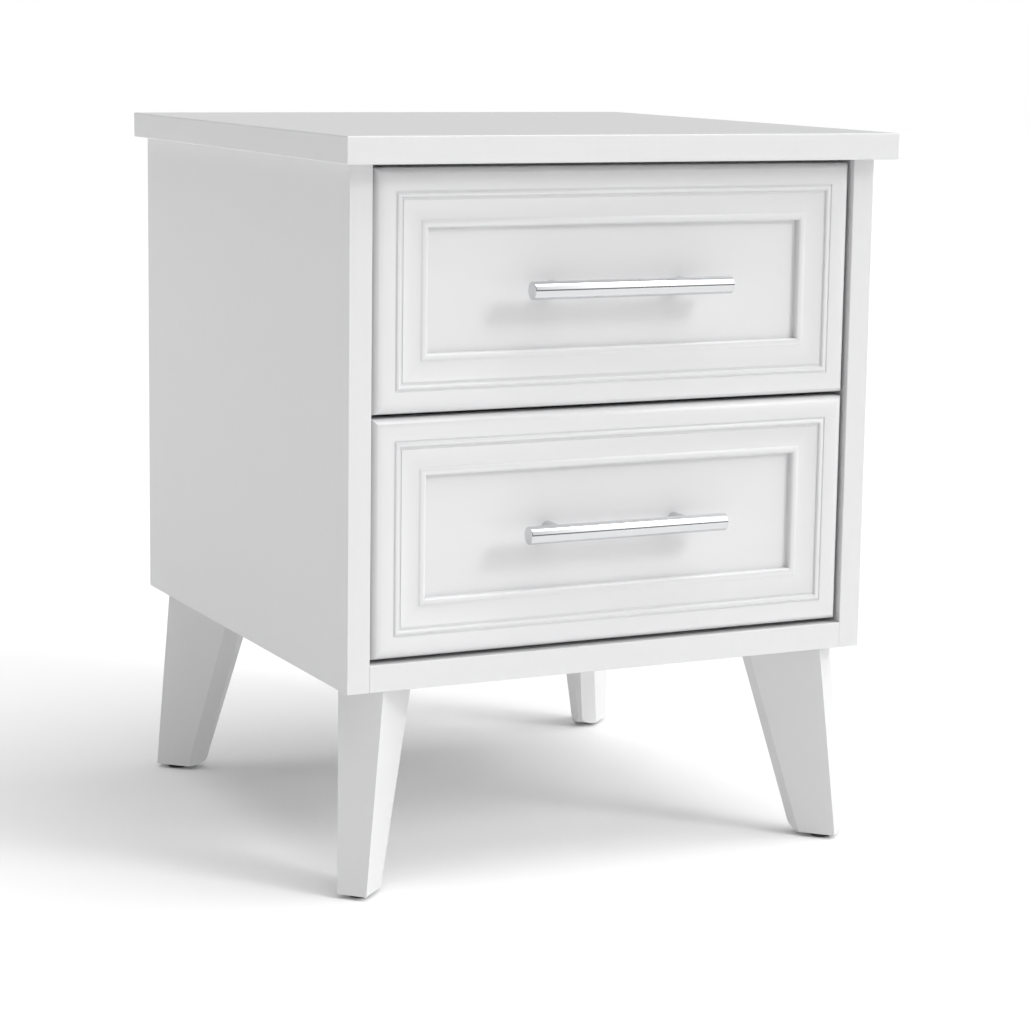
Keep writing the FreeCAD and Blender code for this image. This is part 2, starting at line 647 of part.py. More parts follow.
def drawer_front(name):
    low = front_bottom(name)
    middle = FreeCAD.Vector(0, 0, low + front_height / 2)
    upright = mitred_bar(front_height)
    upright.translate(FreeCAD.Vector(-front_half_width, 0, low))
    level = mitred_bar(2 * front_half_width)
    level.rotate(FreeCAD.Vector(0, 0, 0), Y, 90)
    level.translate(FreeCAD.Vector(-front_half_width, 0, low + front_height))
    bars = [upright, level]
    for bar in (upright, level):
        twin = bar.copy()
        twin.rotate(middle, Y, 180)
        bars.append(twin)
    inner = front_half_width - moulding_width
    field = box((-inner, inner), (panel_face, front_back),
                (low + moulding_width, low + front_height - moulding_width))
    board = field.fuse(bars).removeSplitter()
    cuts = [handle_screw_hole(place) for place in handle_places(name)]
    cuts.append(bottom_groove(name))
    joints = box_cam_joints(name)
    fixings = [cam_bolt_hole(joint, Y, BOX_CAM_BOLT_DIAMETER, BOX_CAM_BOLT_IN_FACE) for joint in joints]
    return board.cut(cuts + fixings + [mirror(cut) for cut in fixings])


# ---- The handles ----
def handle_places(name):
    """Where the two posts meet the middle of the drawer front."""
    z = front_bottom(name) + front_height / 2
    return [FreeCAD.Vector(side * HANDLE_CENTRES / 2, panel_face, z) for side in (-1, 1)]


def handle_bar(name):
    z = front_bottom(name) + front_height / 2
    start = FreeCAD.Vector(-HANDLE_BAR_LENGTH / 2, panel_face - HANDLE_STANDOFF, z)
    bar = rod(start, X, HANDLE_BAR_DIAMETER, HANDLE_BAR_LENGTH)
    return bar.makeChamfer(HANDLE_BAR_CHAMFER, [edge for edge in bar.Edges if edge.isClosed()])


def handle_posts(name):
    posts = []
    for place in handle_places(name):
        post = rod(place, Y * -1, HANDLE_POST_DIAMETER, HANDLE_STANDOFF)
        thread = rod(place, Y * -1, HANDLE_SCREW_DIAMETER + 2 * HOLE_CLEARANCE,
                     HANDLE_SCREW_REACH + HOLE_CLEARANCE)
        posts.append(post.cut([handle_bar(name), thread]))
    return group(posts)


def handle_screw_hole(place):
    return rod(place, Y, HANDLE_SCREW_DIAMETER + 2 * HOLE_CLEARANCE, PANEL_THICKNESS)


def handle_screws(name):
    screws = []
    for place in handle_places(name):
        seat = FreeCAD.Vector(place.x, front_back + HANDLE_SCREW_HEAD_HEIGHT, place.z)
        screws.append(headed_screw(seat, Y * -1, HANDLE_SCREW_DIAMETER,
                                   PANEL_THICKNESS + HANDLE_SCREW_REACH,
                                   HANDLE_SCREW_HEAD_DIAMETER, HANDLE_SCREW_HEAD_HEIGHT))
    return group(screws)


# ---- The drawer boxes ----
def bottom_groove(name):
    """The groove round the inside of the box that the drawer's bottom slides into."""
    low = box_bottom(name) + BOX_GROOVE_RISE
    reach = box_inner_half + BOX_GROOVE_DEPTH
    return box((-reach, reach), (front_back - BOX_GROOVE_DEPTH, box_back_front + BOX_GROOVE_DEPTH),
               (low, low + BOX_BOTTOM_THICKNESS + GROOVE_SLACK))


def box_cam_joints(name):
    x = box_half_width - BOX_SIDE_THICKNESS / 2
    low = box_bottom(name)
    return [FreeCAD.Vector(x, front_back, z)
            for z in (low + BOX_CAM_INSET + BOX_GROOVE_RISE, low + box_height - BOX_CAM_INSET)]


def box_screw_seats(name):
    """Where screws start, in the right side's outer face, to hold the box's back."""
    y = box_end - BOX_BACK_THICKNESS / 2
    low = box_bottom(name)
    return [FreeCAD.Vector(box_half_width, y, z)
            for z in (low + BOX_GROOVE_RISE + BOX_SCREW_INSET, low + box_height - BOX_SCREW_INSET)]


def box_side(name):
    low = box_bottom(name)
    high = low + box_height
    board = box((box_inner_half, box_half_width), (front_back, box_end), (low, high))
    board = soften(board, BOX_EDGE_RADIUS,
                   lambda b: at(b.ZMin, high) and at(b.ZMax, high) and at(b.XMin, b.XMax))
    inward = X * -1
    cuts = [bottom_groove(name)]
    for joint in box_cam_joints(name):
        cuts.append(cam_bolt_hole(joint, Y, BOX_CAM_BOLT_DIAMETER, BOX_CAM_BOLT_IN_FACE))
        cuts.append(cam_pocket(joint, Y, -BOX_SIDE_THICKNESS / 2, X, BOX_CAM_DIAMETER, BOX_CAM_HEIGHT))
    cuts += [screw_hole(seat, inward, SCREW_DIAMETER, BOX_SCREW_IN_BACK + BOX_SIDE_THICKNESS,
                        SCREW_HEAD_DIAMETER, SCREW_HEAD_HEIGHT) for seat in box_screw_seats(name)]
    cuts += [rod(FreeCAD.Vector(box_half_width, y, z), inward, RUNNER_SCREW_DIAMETER + 2 * HOLE_CLEARANCE,
                 RUNNER_SCREW_IN_BOX + HOLE_CLEARANCE)
             for y, z in runner_screw_places(runner_level(name))]
    return board.cut(cuts)


def box_back(name):
    low = box_bottom(name)
    high = low + box_height
    board = box((-box_inner_half, box_inner_half), (box_back_front, box_end), (low, high))
    board = soften(board, BOX_EDGE_RADIUS,
                   lambda b: at(b.ZMin, high) and at(b.ZMax, high) and at(b.YMin, b.YMax))
    bores = [rod(seat, X * -1, SCREW_DIAMETER + 2 * HOLE_CLEARANCE,
                 BOX_SIDE_THICKNESS + BOX_SCREW_IN_BACK + HOLE_CLEARANCE) for seat in box_screw_seats(name)]
    return board.cut([bottom_groove(name)] + bores + [mirror(bore) for bore in bores])


def box_floor(name):
    low = box_bottom(name) + BOX_GROOVE_RISE
    reach = box_inner_half + BOX_GROOVE_DEPTH - GROOVE_SLACK
    start = front_back - BOX_GROOVE_DEPTH + GROOVE_SLACK
    end = box_back_front + BOX_GROOVE_DEPTH - GROOVE_SLACK
    return box((-reach, reach), (start, end), (low, low + BOX_BOTTOM_THICKNESS))


def box_cam_bolts(name):
    bolts = [cam_bolt(joint, Y, BOX_CAM_BOLT_DIAMETER, BOX_CAM_BOLT_IN_FACE)
             for joint in box_cam_joints(name)]
    return both_sides(group(bolts))


def box_cam_nuts(name):
    nuts = [cam_nut(joint, Y, -BOX_SIDE_THICKNESS / 2, X, BOX_CAM_DIAMETER, BOX_CAM_HEIGHT,
                    BOX_CAM_BOLT_DIAMETER) for joint in box_cam_joints(name)]
    return both_sides(group(nuts))


def box_screws(name):
    length = BOX_SIDE_THICKNESS - SCREW_HEAD_HEIGHT + BOX_SCREW_IN_BACK
    screws = [headed_screw(seat, X * -1, SCREW_DIAMETER, length, SCREW_HEAD_DIAMETER, SCREW_HEAD_HEIGHT)
              for seat in box_screw_seats(name)]
    return both_sides(group(screws))


# ---- The runners, drawn on the right; x counts from the case's side towards the box ----
def runner_x(distance):
    return half_opening - distance


def channel(inner_x, outer_x, height, sheet, web_at_outer, y_span, level):
    """A channel with its web against one board and its two flanges towards the other."""
    half = height / 2
    web_span = (outer_x, outer_x - sheet) if web_at_outer else (inner_x, inner_x + sheet)
    web = box([runner_x(x) for x in web_span], y_span, (level - half, level + half))
    flange_x = [runner_x(inner_x), runner_x(outer_x)]
    upper = box(flange_x, y_span, (level + half - sheet, level + half))
    lower = box(flange_x, y_span, (level - half, level - half + sheet))
    return web.fuse([upper, lower]).removeSplitter()


def outer_member(name):
    """The channel on the case: its flanges end in lips, and it has a stop for the balls in front."""
    level = runner_level(name)
    y_span = (runner_front, runner_back)
    half = OUTER_HEIGHT / 2
    body = channel(0, OUTER_FLANGE, OUTER_HEIGHT, RUNNER_SHEET, False, y_span, level)
    lip_x = [runner_x(OUTER_FLANGE - RUNNER_SHEET), runner_x(OUTER_FLANGE)]
    lip_root = half - RUNNER_SHEET
    lips = [box(lip_x, y_span, (level + sign * lip_root, level + sign * (lip_root - OUTER_LIP)))
            for sign in (-1, 1)]
    stop_x = [runner_x(RUNNER_SHEET), runner_x(INNER_FLANGE_CLEARANCE - RUNNER_SCREW_HEAD_HEIGHT)]
    stop = box(stop_x, (runner_front, runner_front + END_STOP_THICKNESS),
               (level - END_STOP_HEIGHT / 2, level + END_STOP_HEIGHT / 2))
    holes = [rod(FreeCAD.Vector(half_opening, y, z), X * -1, RUNNER_SCREW_DIAMETER + 2 * HOLE_CLEARANCE,
                 RUNNER_SHEET) for y, z in runner_screw_places(level)]
    return body.fuse(lips + [stop]).removeSplitter().cut(holes)


def inner_member(name):
    """The channel on the drawer box, which runs on the balls inside the outer one."""
    level = runner_level(name)
    body = channel(INNER_FLANGE_CLEARANCE, RUNNER_THICKNESS, INNER_HEIGHT, RUNNER_SHEET, True,
                   (runner_front, runner_back), level)
    holes = [rod(FreeCAD.Vector(box_half_width, y, z), X, RUNNER_SCREW_DIAMETER + 2 * HOLE_CLEARANCE,
                 RUNNER_SHEET) for y, z in runner_screw_places(level)]
    return body.cut(holes)


def ball_places(name):
    level = runner_level(name)
    row_length = BALL_PITCH * (BALL_COUNT - 1)
    first = cage_front + (CAGE_LENGTH - row_length) / 2
    track = runner_x(BALL_CENTRE_IN)
    return [FreeCAD.Vector(track, first + BALL_PITCH * index, level + sign * ball_centre_rise)
            for sign in (-1, 1) for index in range(BALL_COUNT)]


def ball_cage(name):
    level = runner_level(name)
    height = 2 * ball_centre_rise + CAGE_SHEET
    body = channel(CAGE_WEB_IN, CAGE_FLANGE_END, height, CAGE_SHEET, False,
                   (cage_front, cage_front + CAGE_LENGTH), level)
    pocket = BALL_DIAMETER + 2 * BALL_POCKET_CLEARANCE
    pockets = [rod(place - Z * CAGE_SHEET, Z, pocket, 2 * CAGE_SHEET) for place in ball_places(name)]
    return body.cut(pockets)


def balls(name):
    return group([Part.makeSphere(BALL_DIAMETER / 2, place) for place in ball_places(name)])


def case_runner_screws():
    screws = []
    for name in DRAWER_NAMES:
        for y, z in runner_screw_places(runner_level(name)):
            seat = FreeCAD.Vector(runner_x(RUNNER_SHEET + RUNNER_SCREW_HEAD_HEIGHT), y, z)
            screws.append(headed_screw(seat, X, RUNNER_SCREW_DIAMETER, RUNNER_SHEET + RUNNER_SCREW_IN_PANEL,
                                       RUNNER_SCREW_HEAD_DIAMETER, RUNNER_SCREW_HEAD_HEIGHT))
    return both_sides(group(screws))


def box_runner_screws(name):
    screws = []
    for y, z in runner_screw_places(runner_level(name)):
        seat = FreeCAD.Vector(box_half_width + RUNNER_SHEET + RUNNER_SCREW_HEAD_HEIGHT, y, z)
        screws.append(headed_screw(seat, X * -1, RUNNER_SCREW_DIAMETER, RUNNER_SHEET + RUNNER_SCREW_IN_BOX,
                                   RUNNER_SCREW_HEAD_DIAMETER, RUNNER_SCREW_HEAD_HEIGHT))
    return both_sides(group(screws))


# ---- Everything by name ----
def case_nodes():
    side = case_side()
    nodes = {
        "top_panel": top_panel(),
        "right_side_panel": side,
        "left_side_panel": mirror(side),
        "bottom_panel": drilled_for_nails(bottom_panel()),
        "back_panel": back_panel(),
        "front_top_rail": rail(rail_front),
        "rear_top_rail": drilled_for_nails(rail(back_face - RAIL_WIDTH)),
        "foot_glides": foot_glides(),
        "leg_screws": leg_screws(),
        "top_screws": top_screws(),
        "case_cam_bolts": carcass_cam_bolts(),
        "case_cam_nuts": carcass_cam_nuts(),
        "case_dowels": carcass_dowels(),
        "case_runner_screws": case_runner_screws(),
        "back_nails": back_nails(),
    }
    for leg_name, corner, outward in leg_axes():
        nodes[leg_name] = leg(corner, outward)
    return nodes


def drawer_nodes(name):
    side = box_side(name)
    outer = outer_member(name)
    inner = inner_member(name)
    cage = ball_cage(name)
    ball_group = balls(name)
    return {
        name + "_right_case_runner": outer,
        name + "_left_case_runner": mirror(outer),
        name + "_right_ball_cage": cage,
        name + "_left_ball_cage": mirror(cage),
        name + "_right_balls": ball_group,
        name + "_left_balls": mirror(ball_group),
        name + "_drawer_front": drawer_front(name),
        name + "_drawer_right_side": side,
        name + "_drawer_left_side": mirror(side),
        name + "_drawer_back": box_back(name),
        name + "_drawer_bottom": box_floor(name),
        name + "_right_drawer_runner": inner,
        name + "_left_drawer_runner": mirror(inner),
        name + "_handle_bar": handle_bar(name),
        name + "_handle_posts": handle_posts(name),
        name + "_handle_screws": handle_screws(name),
        name + "_drawer_cam_bolts": box_cam_bolts(name),
        name + "_drawer_cam_nuts": box_cam_nuts(name),
        name + "_drawer_screws": box_screws(name),
        name + "_drawer_runner_screws": box_runner_screws(name),
    }


nodes = case_nodes()
for drawer_name in DRAWER_NAMES:
    nodes.update(drawer_nodes(drawer_name))

os.makedirs("parts", exist_ok=True)
for node_name, shape in nodes.items():
    shape.exportStep("parts/" + node_name + ".step")
print(len(nodes), "nodes; drawer travel", drawer_travel, "mm; runner length", runner_length, "mm")
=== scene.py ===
import json
import math
import bpy
from mathutils import Matrix, Vector


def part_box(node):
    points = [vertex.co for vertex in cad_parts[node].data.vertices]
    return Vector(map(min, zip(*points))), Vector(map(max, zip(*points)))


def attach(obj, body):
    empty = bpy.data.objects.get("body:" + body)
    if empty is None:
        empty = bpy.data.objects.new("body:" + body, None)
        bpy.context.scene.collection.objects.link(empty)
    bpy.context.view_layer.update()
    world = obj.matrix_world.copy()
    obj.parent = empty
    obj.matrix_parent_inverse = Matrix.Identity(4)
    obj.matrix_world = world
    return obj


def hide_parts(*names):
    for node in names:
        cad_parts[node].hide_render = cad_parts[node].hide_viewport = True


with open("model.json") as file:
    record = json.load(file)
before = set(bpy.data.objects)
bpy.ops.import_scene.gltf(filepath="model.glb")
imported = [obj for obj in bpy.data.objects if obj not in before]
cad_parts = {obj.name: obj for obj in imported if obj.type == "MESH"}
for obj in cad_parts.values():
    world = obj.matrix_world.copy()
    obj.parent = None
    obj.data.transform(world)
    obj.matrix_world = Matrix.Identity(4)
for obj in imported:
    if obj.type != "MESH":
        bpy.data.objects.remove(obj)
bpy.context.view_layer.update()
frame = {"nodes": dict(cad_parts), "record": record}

MM = 0.001
DRAWERS = ("lower", "upper")
SIDES = ("left", "right")

# Sizes of the moulded drawer front that the frame's boxes don't give, in metres.
FRONT_THICKNESS = 18.0 * MM
FIELD_THICKNESS = 11.0 * MM
ROLL_RADIUS = 6.5 * MM
CROWN_WIDTH = 8.0 * MM
CROWN_FALL = 0.8 * MM
QUIRK_WIDTH = 1.0 * MM
QUIRK_DEPTH = 0.7 * MM
BEAD_WIDTH = 3.2 * MM
BEAD_HEIGHT = 1.3 * MM
GROOVE_WIDTH = 1.7 * MM
GROOVE_DEPTH = 0.7 * MM
COVE_WIDTH = 13.0 * MM
COVE_FALL = 1.6 * MM
COVE_HOLLOW = 0.9 * MM
INNER_BEAD_WIDTH = 5.2 * MM
INNER_BEAD_HEIGHT = 1.3 * MM
INNER_BEAD_FALL = 0.5 * MM
STEP_SOFTNESS = 0.5 * MM
SHARP_TURN = math.radians(28)
SMOOTH_BELOW = math.radians(40)

HANDLE_BAR_CHAMFER = 0.6 * MM
HANDLE_POST_CHAMFER = 0.25 * MM
BAR_SEGMENTS = 72
POST_SEGMENTS = 48
GLIDE_SEGMENTS = 36
FASTENER_SEGMENTS = 24
BALL_SEGMENTS = 12
HARD_EDGE = math.radians(35.0)

# The whites, and how fine each finish's pattern is: repeats to the metre.
FRONT_WHITE = (0.71, 0.71, 0.717)
BOARD_WHITE = (0.71, 0.71, 0.715)
FOIL_WHITE = (0.74, 0.74, 0.74)
HARDBOARD_WHITE = (0.72, 0.72, 0.715)
MOTTLE_SIZE = 14.0
GLOSS_PATCH_SIZE = 38.0
SWELL_SIZE = 55.0
PLATING_CLOUD_SIZE = 60.0
BOARD_DUST_SIZE = 22.0
LACQUER_DUST_SIZE = 26.0
METAL_DUST_SIZE = 80.0
PLASTIC_DUST_SIZE = 120.0

# The studio: a soft panel over the front, two far lights and one small one behind on the left.
ROOM_GLOW = 0.25
BACKDROP_GLOW = 1.0
PANEL_FROM = 14.0
PANEL_TO = 96.0
PANEL_EDGE = 2.0
PANEL_LEFT_GLOW = 0.2
PANEL_RIGHT_GLOW = 1.45
PANEL_BRIGHTENS = (0.15, 0.42)
KEY_SOURCE = (1.32, -1.68, 1.34)
KEY_WIDTH = 15.0
KEY_POWER = 0.8
OVERHEAD_SOURCE = (0.12, -0.1, 1.0)
OVERHEAD_WIDTH = 55.0
OVERHEAD_POWER = 1.5
BACK_LEFT_PLACE = (-1.0, 0.6, 0.5)
BACK_LEFT_AIM = (-0.195, 0.1, 0.32)
BACK_LEFT_WIDTH = 0.5
BACK_LEFT_POWER = 1.1
FLOOR_RADIUS = 14.0
FLOOR_SEGMENTS = 64

CAMERA_PLACE = (-0.8883, -1.8371, 0.5724)
CAMERA_TURN = 26.17
CAMERA_DOWN = 9.065
CAMERA_ROLL = 0.823
CAMERA_LENS = 99.43
CAMERA_SHIFT = -0.04


# ---------------------------------------------------------------- node building
def new_group(name, kind, inputs, outputs):
    """An empty node group; inputs are (name, socket type, default), outputs (name, socket type)."""
    group = bpy.data.node_groups.new(name, kind)
    for label, socket_type, default in inputs:
        socket = group.interface.new_socket(label, in_out="INPUT", socket_type=socket_type)
        if default is not None:
            socket.default_value = default
    for label, socket_type in outputs:
        group.interface.new_socket(label, in_out="OUTPUT", socket_type=socket_type)
    source = group.nodes.new("NodeGroupInput")
    sink = group.nodes.new("NodeGroupOutput")
    return group, source.outputs, sink.inputs


def link(tree, value, socket):
    """Feeds a socket from another socket, or sets it to a plain value."""
    if isinstance(value, bpy.types.NodeSocket):
        tree.links.new(value, socket)
    else:
        socket.default_value = value


def add(tree, node_type, settings=None, **feeds):
    """A node with its settings, and each named input linked or set; returns the node."""
    node = tree.nodes.new(node_type)
    for name, value in (settings or {}).items():
        setattr(node, name, value)
    for name, value in feeds.items():
        link(tree, value, node.inputs[name.replace("_", " ")])
    return node


def maths(tree, operation, *values):
    """The result of one sum on sockets or plain values."""
    node = tree.nodes.new("ShaderNodeMath")
    node.operation = operation
    for socket, value in zip(node.inputs, values):
        link(tree, value, socket)
    return node.outputs[0]


def noise(tree, coordinate, scale, detail=3.0, roughness=0.5):
    """Soft noise with that many repeats to the metre."""
    node = add(tree, "ShaderNodeTexNoise", Vector=coordinate, Scale=scale, Detail=detail,
               Roughness=roughness)
    return node.outputs["Fac"]


def spread(tree, value, low, high, out_low, out_high):
    """Stretches a range of values onto another range, and keeps within it."""
    node = tree.nodes.new("ShaderNodeMapRange")
    for label, number in (("Value", value), ("From Min", low), ("From Max", high),
                          ("To Min", out_low), ("To Max", out_high)):
        link(tree, number, node.inputs[label])
    return node.outputs["Result"]


def drawn_out(tree, place, stretch):
    """The same place with each axis scaled, which draws a pattern out along the axis scaled least."""
    node = tree.nodes.new("ShaderNodeVectorMath")
    node.operation = "MULTIPLY"
    link(tree, place, node.inputs[0])
    link(tree, stretch, node.inputs[1])
    return node.outputs[0]


def mix_colour(tree, factor, first, second):
    node = tree.nodes.new("ShaderNodeMix")
    node.data_type = "RGBA"
    link(tree, factor, node.inputs["Factor"])
    link(tree, first, node.inputs[6])
    link(tree, second, node.inputs[7])
    return node.outputs[2]


def rgb(red, green, blue):
    return (red, green, blue, 1.0)


# ---------------------------------------------------------------- shared surface effects
def sprayed_film_group():
    """A sprayed or pressed film: faint mottling, uneven gloss and orange peel."""
    group, given, out = new_group(
        "sprayed_film", "ShaderNodeTree",
        [("Colour", "NodeSocketColor", rgb(0.8, 0.8, 0.8)), ("Mottle", "NodeSocketFloat", 0.01),
         ("Gloss", "NodeSocketFloat", 0.35), ("Gloss Drift", "NodeSocketFloat", 0.05),
         ("Peel Size", "NodeSocketFloat", 900.0)],
        [("Colour", "NodeSocketColor"), ("Roughness", "NodeSocketFloat"), ("Height", "NodeSocketFloat")])
    place = group.nodes.new("ShaderNodeTexCoord").outputs["Object"]
    cloud = noise(group, place, MOTTLE_SIZE, 4.0, 0.6)
    shade = spread(group, cloud, 0.3, 0.7, 0.0, given["Mottle"])
    darker = mix_colour(group, shade, given["Colour"], rgb(0.62, 0.61, 0.59))
    link(group, darker, out["Colour"])
    patches = noise(group, place, GLOSS_PATCH_SIZE, 3.0)
    gloss = maths(group, "MULTIPLY_ADD", patches, given["Gloss Drift"], given["Gloss"])
    link(group, gloss, out["Roughness"])
    peel = noise(group, place, given["Peel Size"], 1.5, 0.4)
    swell = noise(group, place, SWELL_SIZE, 2.0, 0.4)
    link(group, maths(group, "MULTIPLY_ADD", swell, 1.5, peel), out["Height"])
    return group


def wood_grain_group():
    """Long fibres along one axis: fine streaks for colour and height."""
    group, given, out = new_group(
        "wood_grain", "ShaderNodeTree",
        [("Stretch", "NodeSocketVector", (1.0, 1.0, 1.0)), ("Fibre Size", "NodeSocketFloat", 300.0),
         ("Light", "NodeSocketColor", rgb(0.8, 0.6, 0.4)),
         ("Dark", "NodeSocketColor", rgb(0.5, 0.34, 0.2))],
        [("Colour", "NodeSocketColor"), ("Height", "NodeSocketFloat")])
    place = group.nodes.new("ShaderNodeTexCoord").outputs["Object"]
    fibre = noise(group, drawn_out(group, place, given["Stretch"]), given["Fibre Size"], 5.0, 0.65)
    streak = spread(group, fibre, 0.3, 0.7, 0.0, 1.0)
    link(group, mix_colour(group, streak, given["Light"], given["Dark"]), out["Colour"])
    link(group, fibre, out["Height"])
    return group


def handling_group():
    """Faint dust and touch marks: a mask that is strongest on level faces that look up."""
    group, given, out = new_group(
        "handling_marks", "ShaderNodeTree",
        [("Amount", "NodeSocketFloat", 0.2), ("Size", "NodeSocketFloat", 30.0)],
        [("Mask", "NodeSocketFloat")])
    place = group.nodes.new("ShaderNodeTexCoord").outputs["Object"]
    normal = group.nodes.new("ShaderNodeNewGeometry").outputs["Normal"]
    upward = add(group, "ShaderNodeSeparateXYZ", Vector=normal).outputs["Z"]
    level = spread(group, upward, -0.2, 1.0, 0.15, 1.0)
    patches = spread(group, noise(group, place, given["Size"], 6.0, 0.7), 0.45, 0.75, 0.0, 1.0)
    marks = maths(group, "MULTIPLY", level, patches)
    link(group, maths(group, "MULTIPLY", marks, given["Amount"]), out["Mask"])
    return group


def metal_lines_group():
    """Drawing or rolling lines along one axis, with cloudy plating."""
    group, given, out = new_group(
        "metal_lines", "ShaderNodeTree",
        [("Stretch", "NodeSocketVector", (1.0, 1.0, 1.0)), ("Line Size", "NodeSocketFloat", 900.0),
         ("Colour", "NodeSocketColor", rgb(0.6, 0.6, 0.6)), ("Cloud", "NodeSocketFloat", 0.1),
         ("Gloss", "NodeSocketFloat", 0.25), ("Gloss Drift", "NodeSocketFloat", 0.15)],
        [("Colour", "NodeSocketColor"), ("Roughness", "NodeSocketFloat"), ("Height", "NodeSocketFloat")])
    place = group.nodes.new("ShaderNodeTexCoord").outputs["Object"]
    lines = noise(group, drawn_out(group, place, given["Stretch"]), given["Line Size"], 3.0, 0.6)
    plating = noise(group, place, PLATING_CLOUD_SIZE, 4.0, 0.6)
    cloud = maths(group, "MULTIPLY", plating, given["Cloud"])
    link(group, mix_colour(group, cloud, given["Colour"], rgb(0.30, 0.31, 0.33)), out["Colour"])
    gloss = maths(group, "MULTIPLY_ADD", lines, given["Gloss Drift"], given["Gloss"])
    link(group, gloss, out["Roughness"])
    link(group, lines, out["Height"])
    return group


FILM = sprayed_film_group()
GRAIN = wood_grain_group()
HANDLING = handling_group()
LINES = metal_lines_group()


# ---------------------------------------------------------------- materials
def new_material(name):
    material = bpy.data.materials.new(name)
    material.use_nodes = True
    tree = material.node_tree
    tree.nodes.clear()
    surface = tree.nodes.new("ShaderNodeBsdfPrincipled")
    output = tree.nodes.new("ShaderNodeOutputMaterial")
    tree.links.new(surface.outputs["BSDF"], output.inputs["Surface"])
    return material, tree, surface


def place_group(tree, group, **values):
    """A shared effect in a material, with this material's own values."""
    node = tree.nodes.new("ShaderNodeGroup")
    node.node_tree = group
    for name, value in values.items():
        link(tree, value, node.inputs[name.replace("_", " ")])
    return node


def bump(tree, surface, height, distance):
    node = add(tree, "ShaderNodeBump", Height=height, Distance=distance, Strength=1.0)
    tree.links.new(node.outputs["Normal"], surface.inputs["Normal"])


def with_dust(tree, colour, amount, size, dust=rgb(0.66, 0.64, 0.60)):
    mask = place_group(tree, HANDLING, Amount=amount, Size=size).outputs["Mask"]
    return mix_colour(tree, mask, colour, dust)


def white_finish(name, colour, gloss, drift, mottle, peel_size, peel_depth, dust, coat=0.0):
    """A white lacquer, melamine or foil, with its own gloss and orange peel."""
    material, tree, surface = new_material(name)
    film = place_group(tree, FILM, Colour=rgb(*colour), Mottle=mottle, Gloss=gloss, Gloss_Drift=drift,
                       Peel_Size=peel_size)
    tree.links.new(with_dust(tree, film.outputs["Colour"], dust, LACQUER_DUST_SIZE),
                   surface.inputs["Base Color"])
    tree.links.new(film.outputs["Roughness"], surface.inputs["Roughness"])
    bump(tree, surface, film.outputs["Height"], peel_depth)
    surface.inputs["IOR"].default_value = 1.5
    surface.inputs["Coat Weight"].default_value = coat
    surface.inputs["Coat Roughness"].default_value = 0.12
    return material


def embossed_board(name, colour, gloss, pore_stretch, depth, dust):
    """White melamine whose press plate left a fine pore texture."""
    material, tree, surface = new_material(name)
    film = place_group(tree, FILM, Colour=rgb(*colour), Mottle=0.035, Gloss=gloss, Gloss_Drift=0.06,
                       Peel_Size=700.0)
    pores = place_group(tree, GRAIN, Stretch=pore_stretch, Fibre_Size=420.0, Light=rgb(*colour),
                        Dark=rgb(*[value * 0.97 for value in colour]))
    tinted = mix_colour(tree, 0.4, film.outputs["Colour"], pores.outputs["Colour"])
    tree.links.new(with_dust(tree, tinted, dust, BOARD_DUST_SIZE), surface.inputs["Base Color"])
    tree.links.new(film.outputs["Roughness"], surface.inputs["Roughness"])
    relief = maths(tree, "MULTIPLY_ADD", pores.outputs["Height"], 0.8, film.outputs["Height"])
    bump(tree, surface, relief, depth)
    surface.inputs["IOR"].default_value = 1.48
    return material


def plated_metal(name, colour, gloss, drift, stretch, line_size, depth, cloud=0.12):
    """Drawn, rolled or cast metal under its plating, with its lines and clouds."""
    material, tree, surface = new_material(name)
    lines = place_group(tree, LINES, Stretch=stretch, Line_Size=line_size, Colour=rgb(*colour),
                        Cloud=cloud, Gloss=gloss, Gloss_Drift=drift)
    tree.links.new(with_dust(tree, lines.outputs["Colour"], 0.06, METAL_DUST_SIZE),
                   surface.inputs["Base Color"])
    tree.links.new(lines.outputs["Roughness"], surface.inputs["Roughness"])
    bump(tree, surface, lines.outputs["Height"], depth)
    surface.inputs["Metallic"].default_value = 1.0
    return material


def beech():
    """The bare dowels: pale wood with its fibres along the dowel."""
    material, tree, surface = new_material("plain_beech")
    grain = place_group(tree, GRAIN, Stretch=(0.15, 1.0, 1.0), Fibre_Size=700.0,
                        Light=rgb(0.72, 0.53, 0.34), Dark=rgb(0.55, 0.37, 0.21))
    tree.links.new(grain.outputs["Colour"], surface.inputs["Base Color"])
    dull = spread(tree, grain.outputs["Height"], 0.0, 1.0, 0.55, 0.75)
    tree.links.new(dull, surface.inputs["Roughness"])
    bump(tree, surface, grain.outputs["Height"], 0.05 * MM)
    return material


def dark_plastic():
    """The glides: dark moulded plastic with a little floor dust."""
    material, tree, surface = new_material("dark_glide_plastic")
    film = place_group(tree, FILM, Colour=rgb(0.022, 0.020, 0.018), Mottle=0.03, Gloss=0.45,
                       Gloss_Drift=0.2, Peel_Size=2200.0)
    tree.links.new(with_dust(tree, film.outputs["Colour"], 0.12, PLASTIC_DUST_SIZE,
                             rgb(0.3, 0.28, 0.25)),
                   surface.inputs["Base Color"])
    tree.links.new(film.outputs["Roughness"], surface.inputs["Roughness"])
    bump(tree, surface, film.outputs["Height"], 0.06 * MM)
    return material


ALONG_X = (0.05, 1.0, 1.0)
ALONG_Y = (1.0, 0.03, 1.0)
NO_DIRECTION = (1.0, 1.0, 1.0)

